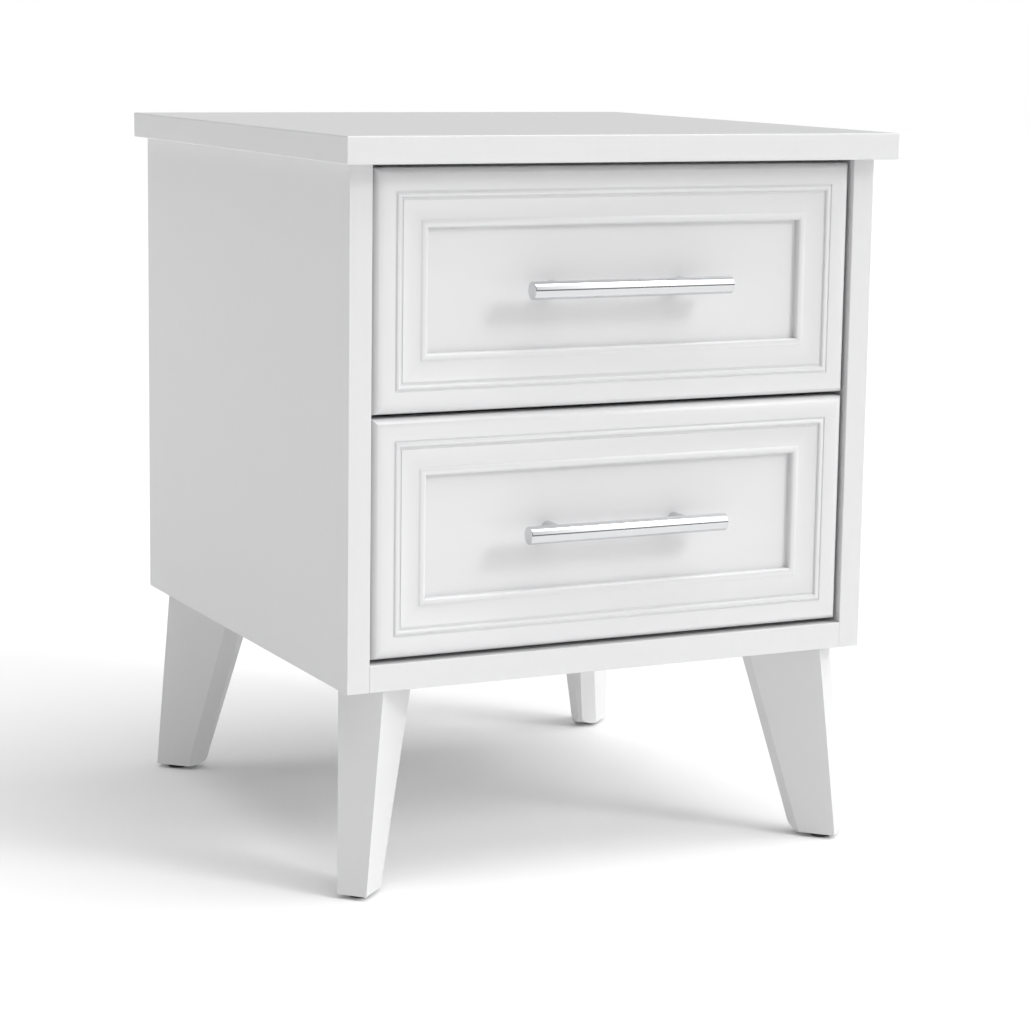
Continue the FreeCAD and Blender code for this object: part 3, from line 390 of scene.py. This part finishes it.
finishes = {
    "front_lacquer": white_finish("satin_white_lacquer", FRONT_WHITE, gloss=0.30, drift=0.08, mottle=0.03,
                                  peel_size=1100.0, peel_depth=0.012 * MM, dust=0.02, coat=0.15),
    "case_board": embossed_board("white_melamine", BOARD_WHITE, gloss=0.36, pore_stretch=(1.0, 1.0, 0.12),
                                 depth=0.016 * MM, dust=0.03),
    "leg_lacquer": white_finish("white_leg_lacquer", FRONT_WHITE, gloss=0.34, drift=0.10, mottle=0.05,
                                peel_size=800.0, peel_depth=0.02 * MM, dust=0.04),
    "box_board": embossed_board("white_foil_board", FOIL_WHITE, gloss=0.5, pore_stretch=(1.0, 0.1, 1.0),
                                depth=0.03 * MM, dust=0.06),
    "thin_board": embossed_board("white_hardboard", HARDBOARD_WHITE, gloss=0.55, pore_stretch=NO_DIRECTION,
                                 depth=0.04 * MM, dust=0.10),
    "handle_chrome": plated_metal("polished_chrome", (0.66, 0.665, 0.675), gloss=0.035, drift=0.03,
                                  stretch=ALONG_X, line_size=1800.0, depth=0.0015 * MM, cloud=0.03),
    "runner_steel": plated_metal("zinc_runner_steel", (0.66, 0.68, 0.71), gloss=0.24, drift=0.22,
                                 stretch=ALONG_Y, line_size=1500.0, depth=0.01 * MM, cloud=0.3),
    "ball_steel": plated_metal("bearing_steel", (0.72, 0.72, 0.73), gloss=0.08, drift=0.06,
                               stretch=NO_DIRECTION, line_size=900.0, depth=0.002 * MM),
    "fixing_steel": plated_metal("zinc_screw_steel", (0.70, 0.70, 0.68), gloss=0.26, drift=0.2,
                                 stretch=NO_DIRECTION, line_size=1300.0, depth=0.01 * MM, cloud=0.25),
    "cam_zinc": plated_metal("cast_zinc", (0.52, 0.53, 0.55), gloss=0.42, drift=0.25,
                             stretch=NO_DIRECTION, line_size=700.0, depth=0.04 * MM, cloud=0.4),
    "dowel_beech": beech(),
    "glide_plastic": dark_plastic(),
}
slot_of = {row["node"]: row["material_slot"] for row in frame["record"]["subparts"]}


def finish_cad_nodes():
    """Every CAD node that stays shows the finish of its slot."""
    for node, piece in frame["nodes"].items():
        for slot in piece.material_slots:
            slot.material = finishes[slot_of[node]]


# ---------------------------------------------------------------- making pieces
def new_piece(name, mesh, body, slot, replaced=()):
    """Puts a finished mesh on a body, with its slot's finish, in place of the CAD nodes it stands for."""
    piece = bpy.data.objects.new(name, mesh)
    bpy.context.scene.collection.objects.link(piece)
    if not mesh.materials:
        mesh.materials.append(finishes[slot])
    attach(piece, body)
    if replaced:
        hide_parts(*replaced)
    return piece


def grown_mesh(name, seed, tree, settings):
    """Runs a geometry tree on a seed mesh and returns the result as a plain mesh."""
    holder = bpy.data.objects.new(name + "_seed", seed)
    bpy.context.scene.collection.objects.link(holder)
    modifier = holder.modifiers.new("grow", "NODES")
    modifier.node_group = tree
    names = {item.name: item.identifier for item in tree.interface.items_tree if item.in_out == "INPUT"}
    for label, value in settings.items():
        modifier[names[label]] = value
    depsgraph = bpy.context.evaluated_depsgraph_get()
    mesh = bpy.data.meshes.new_from_object(holder.evaluated_get(depsgraph))
    mesh.name = name
    bpy.data.objects.remove(holder)
    return mesh


def arc_points(start, middle, end, steps):
    """Points on the circle through three points, from start to end, without the start."""
    ax, ay = start
    bx, by = middle
    cx, cy = end
    d = 2 * (ax * (by - cy) + bx * (cy - ay) + cx * (ay - by))
    ux = ((ax**2 + ay**2) * (by - cy) + (bx**2 + by**2) * (cy - ay) + (cx**2 + cy**2) * (ay - by)) / d
    uy = ((ax**2 + ay**2) * (cx - bx) + (bx**2 + by**2) * (ax - cx) + (cx**2 + cy**2) * (bx - ax)) / d
    first = math.atan2(ay - uy, ax - ux)
    mid = math.atan2(by - uy, bx - ux)
    last = math.atan2(cy - uy, cx - ux)
    turn = (last - first) % (2 * math.pi)
    if (mid - first) % (2 * math.pi) > turn:
        turn -= 2 * math.pi
    radius = math.hypot(ax - ux, ay - uy)
    angles = [first + turn * i / steps for i in range(1, steps + 1)]
    return [(ux + radius * math.cos(angle), uy + radius * math.sin(angle)) for angle in angles]


def eased(points, cut):
    """The same outline with its sharp turns cut back a little, as a sanded or foiled edge is."""
    result = [points[0]]
    for before, here, after in zip(points, points[1:], points[2:]):
        one = Vector(here) - Vector(before)
        two = Vector(after) - Vector(here)
        if one.angle(two) > SHARP_TURN:
            back = min(cut, one.length * 0.45)
            forth = min(cut, two.length * 0.45)
            low = Vector(here) - one.normalized() * back
            high = Vector(here) + two.normalized() * forth
            middle = (low + high) * 0.25 + Vector(here) * 0.5
            result += [tuple(low), tuple(middle), tuple(high)]
        else:
            result.append(here)
    return result + [points[-1]]


# ---------------------------------------------------------------- moulded drawer fronts
def moulding_profile():
    """(distance in from the edge, height above the back face) from the back edge to the field."""
    edge = FRONT_THICKNESS - ROLL_RADIUS
    diagonal = ROLL_RADIUS * math.sqrt(0.5)
    crown_in = ROLL_RADIUS + CROWN_WIDTH
    crown = FRONT_THICKNESS - CROWN_FALL
    quirk = crown - QUIRK_DEPTH
    bead_in = crown_in + QUIRK_WIDTH
    groove_in = bead_in + BEAD_WIDTH
    groove = quirk - GROOVE_DEPTH
    cove_in = groove_in + GROOVE_WIDTH
    cove_end = cove_in + COVE_WIDTH
    cove_low = quirk - COVE_FALL
    frame_end = cove_end + INNER_BEAD_WIDTH
    inner_low = cove_low - INNER_BEAD_FALL
    points = [(0.0, 0.0), (0.0, edge)]
    points += arc_points(points[-1], (ROLL_RADIUS - diagonal, edge + diagonal),
                         (ROLL_RADIUS, FRONT_THICKNESS), 10)
    points += arc_points(points[-1], (ROLL_RADIUS + CROWN_WIDTH / 2, FRONT_THICKNESS - CROWN_FALL / 4),
                         (crown_in, crown), 6)
    points += [(crown_in, quirk), (bead_in, quirk)]
    points += arc_points(points[-1], (bead_in + BEAD_WIDTH / 2, quirk + BEAD_HEIGHT),
                         (groove_in, quirk), 10)
    points += [(groove_in, groove), (cove_in, groove), (cove_in, quirk)]
    points += arc_points(points[-1], ((cove_in + cove_end) / 2, (quirk + cove_low) / 2 - COVE_HOLLOW),
                         (cove_end, cove_low), 10)
    points += arc_points(points[-1], (cove_end + INNER_BEAD_WIDTH / 2,
                                      cove_low - INNER_BEAD_FALL / 2 + INNER_BEAD_HEIGHT),
                         (frame_end, inner_low), 10)
    points.append((frame_end, FIELD_THICKNESS))
    return eased(points, STEP_SOFTNESS)


def moulded_front_tree(point_count):
    """Carries a profile round a rectangle with mitred corners, and closes its field and its back.
    The seed mesh holds the profile: X is the distance in from the edge, Y the height."""
    tree, given, out = new_group(
        "moulded_front", "GeometryNodeTree",
        [("Geometry", "NodeSocketGeometry", None), ("Width", "NodeSocketFloat", 0.35),
         ("Height", "NodeSocketFloat", 0.16), ("Centre", "NodeSocketVector", (0, 0, 0)),
         ("Finish", "NodeSocketMaterial", None)],
        [("Geometry", "NodeSocketGeometry")])
    grid = tree.nodes.new("GeometryNodeMeshGrid")
    grid.inputs["Vertices X"].default_value = point_count
    grid.inputs["Vertices Y"].default_value = 5
    index = tree.nodes.new("GeometryNodeInputIndex").outputs[0]
    along = maths(tree, "FLOOR", maths(tree, "DIVIDE", maths(tree, "ADD", index, 0.5), 5.0))
    round_it = maths(tree, "SUBTRACT", index, maths(tree, "MULTIPLY", along, 5.0))
    place = tree.nodes.new("GeometryNodeInputPosition").outputs[0]
    sample = tree.nodes.new("GeometryNodeSampleIndex")
    sample.data_type = "FLOAT_VECTOR"
    link(tree, given["Geometry"], sample.inputs["Geometry"])
    link(tree, place, sample.inputs["Value"])
    link(tree, along, sample.inputs["Index"])
    profile = add(tree, "ShaderNodeSeparateXYZ", Vector=sample.outputs["Value"])
    # Corners 0..4 go round the rectangle: (-,-) (+,-) (+,+) (-,+) (-,-).
    right = maths(tree, "COMPARE", round_it, 1.5, 0.6)
    upper = maths(tree, "COMPARE", round_it, 2.5, 0.6)
    x_sign = maths(tree, "MULTIPLY_ADD", right, 2.0, -1.0)
    z_sign = maths(tree, "MULTIPLY_ADD", upper, 2.0, -1.0)
    half_x = maths(tree, "SUBTRACT", maths(tree, "MULTIPLY", given["Width"], 0.5), profile.outputs["X"])
    half_z = maths(tree, "SUBTRACT", maths(tree, "MULTIPLY", given["Height"], 0.5), profile.outputs["X"])
    corner = add(tree, "ShaderNodeCombineXYZ", X=maths(tree, "MULTIPLY", half_x, x_sign),
                 Y=maths(tree, "MULTIPLY", profile.outputs["Y"], -1.0),
                 Z=maths(tree, "MULTIPLY", half_z, z_sign))
    swept = tree.nodes.new("GeometryNodeSetPosition")
    link(tree, grid.outputs["Mesh"], swept.inputs["Geometry"])
    link(tree, corner.outputs[0], swept.inputs["Position"])
    joined = tree.nodes.new("GeometryNodeJoinGeometry")
    tree.links.new(swept.outputs[0], joined.inputs[0])
    for which, inset_index, flip in (("field", point_count - 1, True), ("back", 0, False)):
        inset = tree.nodes.new("GeometryNodeSampleIndex")
        inset.data_type = "FLOAT_VECTOR"
        link(tree, given["Geometry"], inset.inputs["Geometry"])
        link(tree, place, inset.inputs["Value"])
        inset.inputs["Index"].default_value = inset_index
        end = add(tree, "ShaderNodeSeparateXYZ", Vector=inset.outputs["Value"])
        size_x = maths(tree, "MULTIPLY_ADD", end.outputs["X"], -2.0, given["Width"])
        size_z = maths(tree, "MULTIPLY_ADD", end.outputs["X"], -2.0, given["Height"])
        sheet = tree.nodes.new("GeometryNodeMeshGrid")
        link(tree, size_x, sheet.inputs["Size X"])
        link(tree, size_z, sheet.inputs["Size Y"])
        sheet.inputs["Vertices X"].default_value = 2
        sheet.inputs["Vertices Y"].default_value = 2
        level = add(tree, "ShaderNodeCombineXYZ", Y=maths(tree, "MULTIPLY", end.outputs["Y"], -1.0))
        turned = tree.nodes.new("GeometryNodeTransform")
        link(tree, sheet.outputs["Mesh"], turned.inputs["Geometry"])
        link(tree, level.outputs[0], turned.inputs["Translation"])
        turned.inputs["Rotation"].default_value = (math.pi / 2 if flip else -math.pi / 2, 0, 0)
        tree.links.new(turned.outputs[0], joined.inputs[0])
    merged = add(tree, "GeometryNodeMergeByDistance", Geometry=joined.outputs[0], Distance=0.01 * MM)
    smooth = tree.nodes.new("GeometryNodeSetShadeSmooth")
    link(tree, merged.outputs[0], smooth.inputs["Geometry"])
    angle = tree.nodes.new("GeometryNodeInputMeshEdgeAngle").outputs["Unsigned Angle"]
    gentle = tree.nodes.new("GeometryNodeSetShadeSmooth")
    gentle.domain = "EDGE"
    link(tree, smooth.outputs[0], gentle.inputs["Geometry"])
    link(tree, maths(tree, "LESS_THAN", angle, SMOOTH_BELOW), gentle.inputs["Shade Smooth"])
    moved = add(tree, "GeometryNodeTransform", Geometry=gentle.outputs[0], Translation=given["Centre"])
    real = add(tree, "GeometryNodeRealizeInstances", Geometry=moved.outputs[0])
    coated = add(tree, "GeometryNodeSetMaterial", Geometry=real.outputs[0], Material=given["Finish"])
    tree.links.new(coated.outputs[0], out["Geometry"])
    return tree


def profile_seed(points):
    mesh = bpy.data.meshes.new("moulding_profile")
    mesh.from_pydata([(x, y, 0.0) for x, y in points], [(i, i + 1) for i in range(len(points) - 1)], [])
    return mesh


def drawer_fronts():
    points = moulding_profile()
    tree = moulded_front_tree(len(points))
    for drawer in DRAWERS:
        node = drawer + "_drawer_front"
        low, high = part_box(node)
        centre = ((low.x + high.x) / 2, high.y, (low.z + high.z) / 2)
        mesh = grown_mesh(drawer + "_moulded_front", profile_seed(points), tree,
                          {"Width": high.x - low.x, "Height": high.z - low.z, "Centre": centre,
                           "Finish": finishes["front_lacquer"]})
        new_piece(drawer + "_moulded_front", mesh, drawer + "_drawer", "front_lacquer", [node])


# ---------------------------------------------------------------- turned pieces: handles, fixings, balls
def ring_mesh(name, rings, hard_edge=HARD_EDGE):
    """Skins rings of (height, list of (x, y)) into one closed surface along Z, from the top down."""
    mesh = bpy.data.meshes.new(name)
    count = len(rings[0][1])
    points = [(0.0, 0.0, rings[0][0])]
    for height, outline in rings:
        points += [(x, y, height) for x, y in outline]
    points.append((0.0, 0.0, rings[-1][0]))
    last = len(points) - 1
    faces = [(0, 1 + i, 1 + (i + 1) % count) for i in range(count)]
    for ring in range(len(rings) - 1):
        upper = 1 + ring * count
        lower = upper + count
        faces += [(upper + i, lower + i, lower + (i + 1) % count, upper + (i + 1) % count)
                  for i in range(count)]
    base = 1 + (len(rings) - 1) * count
    faces += [(base + i, last, base + (i + 1) % count) for i in range(count)]
    mesh.from_pydata(points, [], faces)
    mesh.validate()
    mesh.shade_smooth()
    mesh.set_sharp_from_angle(angle=hard_edge)
    return mesh


def circle(radius, count):
    angles = [math.tau * i / count for i in range(count)]
    return [(radius * math.cos(angle), radius * math.sin(angle)) for angle in angles]


def cross(arm):
    """The outline of a cross recess at 24 even angles, so that its corners fall on them."""
    half = arm * math.tan(math.radians(15.0))
    reach = [arm, math.hypot(arm, half), 2 * half, half * math.sqrt(2), 2 * half, math.hypot(arm, half)]
    return [(reach[i % 6] * x, reach[i % 6] * y) for i, (x, y) in enumerate(circle(1.0, FASTENER_SEGMENTS))]


def cylinder_along(name, low, high, radius, edge, segments, axis):
    """A round bar between two levels of one axis, with eased ends, as a mesh in its place."""
    length = high[axis] - low[axis]
    rounds = [(edge * (1 - math.cos(math.radians(a))), radius - edge * (1 - math.sin(math.radians(a))))
              for a in (0, 22.5, 45, 67.5, 90)]
    rings = [(length / 2 - down, circle(out, segments)) for down, out in rounds]
    rings += [(down - length / 2, circle(out, segments)) for down, out in reversed(rounds)]
    mesh = ring_mesh(name, rings)
    turn = Matrix.Rotation(math.pi / 2, 4, "Y") if axis == 0 else Matrix.Rotation(math.pi / 2, 4, "X")
    mesh.transform(Matrix.Translation((low + high) / 2) @ turn)
    return mesh


def joined(name, meshes):
    """One mesh from several, without merging them."""
    points, faces = [], []
    for mesh in meshes:
        first = len(points)
        points += [tuple(vertex.co) for vertex in mesh.vertices]
        faces += [[first + i for i in polygon.vertices] for polygon in mesh.polygons]
    result = bpy.data.meshes.new(name)
    result.from_pydata(points, [], faces)
    result.shade_smooth()
    result.set_sharp_from_angle(angle=HARD_EDGE)
    return result


def solids_of(node):
    """The separate solids of a CAD node, each as the list of its points."""
    mesh = frame["nodes"][node].data
    spots = [tuple(round(value, 6) for value in vertex.co) for vertex in mesh.vertices]
    root = {spot: spot for spot in spots}

    def top(spot):
        while root[spot] != spot:
            root[spot] = root[root[spot]]
            spot = root[spot]
        return spot

    for polygon in mesh.polygons:
        first = top(spots[polygon.vertices[0]])
        for index in polygon.vertices[1:]:
            root[top(spots[index])] = first
    solids = {}
    for spot in sorted(root):
        solids.setdefault(top(spot), []).append(Vector(spot))
    return [solids[key] for key in sorted(solids)]


def box_of(points):
    low = Vector([min(point[i] for point in points) for i in range(3)])
    high = Vector([max(point[i] for point in points) for i in range(3)])
    return low, high


def read_fastener(points):
    """Where a headed fastener's head is, which way it faces, and its sizes."""
    low, high = box_of(points)
    centre = (low + high) / 2
    size = high - low
    axis = max(range(3), key=lambda i: size[i])
    across = [i for i in range(3) if i != axis]
    radii = [math.hypot(*[(point - centre)[i] for i in across]) for point in points]
    head_radius = max(radii)
    widest = [point for point, radius in zip(points, radii) if radius > 0.9 * head_radius]
    narrow = [radius for radius in radii if radius > 0.1 * head_radius]
    facing = 1.0 if sum(point[axis] for point in widest) / len(widest) > centre[axis] else -1.0
    aim = Vector([facing if i == axis else 0.0 for i in range(3)])
    seat = centre + aim * size[axis] / 2
    head_height = max(abs(seat[axis] - point[axis]) for point in widest)
    return seat, aim, size[axis], head_radius, head_height, min(narrow)


def fastener_mesh(length, head_radius, head_height, shank_radius, recessed):
    """A domed head with a cross recess on a plain shank; the head's top is at zero and faces up."""
    recess = min(0.9 * shank_radius, 0.5 * head_radius)
    depth = 0.5 * shank_radius
    rings = []
    if recessed:
        rings += [(-depth, cross(recess * 0.45)), (-depth * 0.9, cross(recess * 0.7)),
                  (-0.04 * head_height, cross(recess)), (0.0, cross(recess * 1.06))]
    outline = [(-0.01 * head_height, 0.58 * head_radius), (-0.12 * head_height, 0.80 * head_radius),
               (-0.38 * head_height, 0.95 * head_radius), (-0.75 * head_height, head_radius),
               (-head_height, head_radius), (-head_height, shank_radius),
               (-length + shank_radius, shank_radius), (-length + 0.1 * shank_radius, 0.3 * shank_radius),
               (-length, 0.1 * shank_radius)]
    rings += [(height, circle(radius, FASTENER_SEGMENTS)) for height, radius in outline]
    return ring_mesh("fastener_pattern", rings)


def repeated_tree():
    """Sets a pattern piece on every point of the seed mesh, turned to the point's own direction."""
    tree, given, out = new_group(
        "repeated_piece", "GeometryNodeTree",
        [("Geometry", "NodeSocketGeometry", None), ("Pattern", "NodeSocketObject", None),
         ("Scale", "NodeSocketFloat", 1.0), ("Finish", "NodeSocketMaterial", None)],
        [("Geometry", "NodeSocketGeometry")])
    pattern = tree.nodes.new("GeometryNodeObjectInfo")
    link(tree, given["Pattern"], pattern.inputs["Object"])
    aim = tree.nodes.new("GeometryNodeInputNamedAttribute")
    aim.data_type = "FLOAT_VECTOR"
    aim.inputs["Name"].default_value = "aim"
    turn = tree.nodes.new("FunctionNodeAlignRotationToVector")
    turn.axis = "Z"
    link(tree, aim.outputs["Attribute"], turn.inputs["Vector"])
    points = add(tree, "GeometryNodeMeshToPoints", Mesh=given["Geometry"])
    placed = tree.nodes.new("GeometryNodeInstanceOnPoints")
    link(tree, points.outputs[0], placed.inputs["Points"])
    link(tree, pattern.outputs["Geometry"], placed.inputs["Instance"])
    link(tree, turn.outputs["Rotation"], placed.inputs["Rotation"])
    size = add(tree, "ShaderNodeCombineXYZ", X=given["Scale"], Y=given["Scale"], Z=given["Scale"])
    link(tree, size.outputs[0], placed.inputs["Scale"])
    real = add(tree, "GeometryNodeRealizeInstances", Geometry=placed.outputs[0])
    coated = add(tree, "GeometryNodeSetMaterial", Geometry=real.outputs[0], Material=given["Finish"])
    tree.links.new(coated.outputs[0], out["Geometry"])
    return tree


REPEATED = repeated_tree()


def repeat_piece(name, pattern, seats, aims, slot, scale=1.0):
    """The pattern mesh at each seat, as one plain mesh."""
    holder = bpy.data.objects.new(name + "_pattern", pattern)
    bpy.context.scene.collection.objects.link(holder)
    holder.location = (0.0, 0.0, -50.0)
    seed = bpy.data.meshes.new(name + "_seats")
    seed.from_pydata([tuple(seat) for seat in seats], [], [])
    row = seed.attributes.new("aim", "FLOAT_VECTOR", "POINT")
    row.data.foreach_set("vector", [value for aim in aims for value in aim])
    mesh = grown_mesh(name, seed, REPEATED, {"Pattern": holder, "Scale": scale, "Finish": finishes[slot]})
    bpy.data.objects.remove(holder)
    return mesh


def body_of(node):
    bodies = frame["record"]["behaviour"]["bodies"]
    return next(name for name, nodes in bodies.items() if node in nodes)


def fasteners(node, slot, recessed=True):
    found = [read_fastener(points) for points in solids_of(node)]
    seats, aims = [row[0] for row in found], [row[1] for row in found]
    pattern = fastener_mesh(*found[0][2:], recessed)
    mesh = repeat_piece(node + "_turned", pattern, seats, aims, slot)
    new_piece(node + "_turned", mesh, body_of(node), slot, [node])


def ball_rows(node):
    boxes = [box_of(points) for points in solids_of(node)]
    radius = (boxes[0][1].z - boxes[0][0].z) / 2
    levels = [math.radians(degrees) for degrees in range(15, 180, 25)]
    rings = [(radius * math.cos(level), circle(radius * math.sin(level), BALL_SEGMENTS)) for level in levels]
    pattern = ring_mesh("ball_pattern", rings, math.radians(80.0))
    for vertex in pattern.vertices:
        vertex.co = vertex.co.normalized() * radius if vertex.co.length else vertex.co
    seats = [(low + high) / 2 for low, high in boxes]
    mesh = repeat_piece(node + "_turned", pattern, seats, [(0, 0, 1)] * len(seats), "ball_steel")
    new_piece(node + "_turned", mesh, body_of(node), "ball_steel", [node])


def handles():
    for drawer in DRAWERS:
        bar = drawer + "_handle_bar"
        low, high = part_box(bar)
        mesh = cylinder_along(bar + "_turned", low, high, (high.z - low.z) / 2, HANDLE_BAR_CHAMFER,
                                BAR_SEGMENTS, 0)
        new_piece(bar + "_turned", mesh, drawer + "_drawer", "handle_chrome", [bar])
        posts = drawer + "_handle_posts"
        turned = []
        for points in solids_of(posts):
            low, high = box_of(points)
            turned.append(cylinder_along("post", low, high, (high.z - low.z) / 2, HANDLE_POST_CHAMFER,
                                         POST_SEGMENTS, 1))
        mesh = joined(posts + "_turned", turned)
        new_piece(posts + "_turned", mesh, drawer + "_drawer", "handle_chrome", [posts])


def glides():
    seats = []
    for points in solids_of("foot_glides"):
        low, high = box_of(points)
        seats.append(Vector(((low.x + high.x) / 2, (low.y + high.y) / 2, low.z)))
    radius = (high.x - low.x) / 2
    thick = high.z - low.z
    rings = [(thick, 0.99), (thick * 0.55, 1.0), (thick * 0.35, 0.985), (thick * 0.12, 0.94), (0.0, 0.86),
             (0.0, 0.3)]
    outlines = [(height, circle(out * radius, GLIDE_SEGMENTS)) for height, out in rings]
    pattern = ring_mesh("glide_pattern", outlines, math.radians(50.0))
    mesh = repeat_piece("foot_glides_moulded", pattern, seats, [(0, 0, 1)] * len(seats), "glide_plastic")
    new_piece("foot_glides_moulded", mesh, "cabinet", "glide_plastic", ["foot_glides"])


def small_pieces():
    handles()
    glides()
    for node in ("leg_screws", "top_screws", "case_runner_screws"):
        fasteners(node, "fixing_steel")
    fasteners("back_nails", "fixing_steel", recessed=False)
    for drawer in DRAWERS:
        for kind in ("_handle_screws", "_drawer_screws", "_drawer_runner_screws"):
            fasteners(drawer + kind, "fixing_steel")
        for side in SIDES:
            ball_rows(drawer + "_" + side + "_balls")


# ---------------------------------------------------------------- the floor, the light and the camera
def plain_floor():
    corners = [(x, y, 0.0) for x, y in circle(FLOOR_RADIUS, FLOOR_SEGMENTS)]
    mesh = bpy.data.meshes.new("floor")
    mesh.from_pydata(corners, [], [list(range(FLOOR_SEGMENTS))])
    floor = bpy.data.objects.new("floor", mesh)
    bpy.context.scene.collection.objects.link(floor)
    material, tree, surface = new_material("pale_floor")
    film = place_group(tree, FILM, Colour=rgb(0.95, 0.95, 0.95), Mottle=0.01, Gloss=0.7, Gloss_Drift=0.05,
                       Peel_Size=60.0)
    tree.links.new(film.outputs["Colour"], surface.inputs["Base Color"])
    tree.links.new(film.outputs["Roughness"], surface.inputs["Roughness"])
    mesh.materials.append(material)


def soft_light(name, place, aim, width, power):
    """A square soft box near the piece."""
    data = bpy.data.lights.new(name, "AREA")
    data.shape = "SQUARE"
    data.size = width
    data.energy = power
    lamp = bpy.data.objects.new(name, data)
    lamp.location = place
    direction = Vector(aim) - Vector(place)
    lamp.rotation_euler = direction.to_track_quat("-Z", "Y").to_euler()
    bpy.context.scene.collection.objects.link(lamp)


def far_light(name, source, width, power):
    """An even light from far off, as wide across as the given angle in degrees."""
    data = bpy.data.lights.new(name, "SUN")
    data.angle = math.radians(width)
    data.energy = power
    lamp = bpy.data.objects.new(name, data)
    lamp.rotation_euler = Vector(source).to_track_quat("Z", "Y").to_euler()
    bpy.context.scene.collection.objects.link(lamp)


def studio_dome():
    """A dim room with one wide soft panel over the front, brighter on the right; white to the eye."""
    world = bpy.data.worlds.new("studio")
    world.use_nodes = True
    tree = world.node_tree
    tree.nodes.clear()
    place = tree.nodes.new("ShaderNodeTexCoord").outputs["Generated"]
    way = add(tree, "ShaderNodeSeparateXYZ", Vector=place)
    lift = maths(tree, "ARCTAN2", way.outputs["Z"], maths(tree, "MULTIPLY", way.outputs["Y"], -1.0))
    above = spread(tree, lift, math.radians(PANEL_FROM - PANEL_EDGE), math.radians(PANEL_FROM + PANEL_EDGE),
                   0.0, 1.0)
    below = spread(tree, lift, math.radians(PANEL_TO - PANEL_EDGE), math.radians(PANEL_TO + PANEL_EDGE),
                   1.0, 0.0)
    rightward = spread(tree, way.outputs["X"], *PANEL_BRIGHTENS, PANEL_LEFT_GLOW, PANEL_RIGHT_GLOW)
    panel = maths(tree, "MULTIPLY", maths(tree, "MULTIPLY", above, below), rightward)
    glow = maths(tree, "ADD", panel, ROOM_GLOW)
    seen = tree.nodes.new("ShaderNodeLightPath").outputs["Is Camera Ray"]
    strength = maths(tree, "MAXIMUM", glow, maths(tree, "MULTIPLY", seen, BACKDROP_GLOW))
    background = add(tree, "ShaderNodeBackground", Color=rgb(1.0, 1.0, 1.0), Strength=strength)
    output = tree.nodes.new("ShaderNodeOutputWorld")
    tree.links.new(background.outputs[0], output.inputs["Surface"])
    bpy.context.scene.world = world


def studio():
    studio_dome()
    far_light("key_from_front_right", KEY_SOURCE, KEY_WIDTH, KEY_POWER)
    far_light("overhead", OVERHEAD_SOURCE, OVERHEAD_WIDTH, OVERHEAD_POWER)
    soft_light("back_left", BACK_LEFT_PLACE, BACK_LEFT_AIM, BACK_LEFT_WIDTH, BACK_LEFT_POWER)
    bpy.context.scene.view_settings.view_transform = "Standard"


def place_camera():
    """Front left, a little above the top, looking slightly down."""
    turn = math.radians(CAMERA_TURN)
    down = math.radians(CAMERA_DOWN)
    level = math.cos(down)
    ahead = Vector((math.sin(turn) * level, math.cos(turn) * level, -math.sin(down)))
    data = bpy.data.cameras.new("camera")
    data.sensor_width = 36.0
    data.lens = CAMERA_LENS
    data.shift_y = CAMERA_SHIFT
    data.clip_start = 0.05
    data.clip_end = 60.0
    camera = bpy.data.objects.new("camera", data)
    facing = ahead.to_track_quat("-Z", "Y").to_matrix() @ Matrix.Rotation(math.radians(CAMERA_ROLL), 3, "Z")
    camera.matrix_world = Matrix.Translation(CAMERA_PLACE) @ facing.to_4x4()
    bpy.context.scene.collection.objects.link(camera)
    bpy.context.scene.camera = camera


finish_cad_nodes()
drawer_fronts()
small_pieces()
plain_floor()
studio()
place_camera()
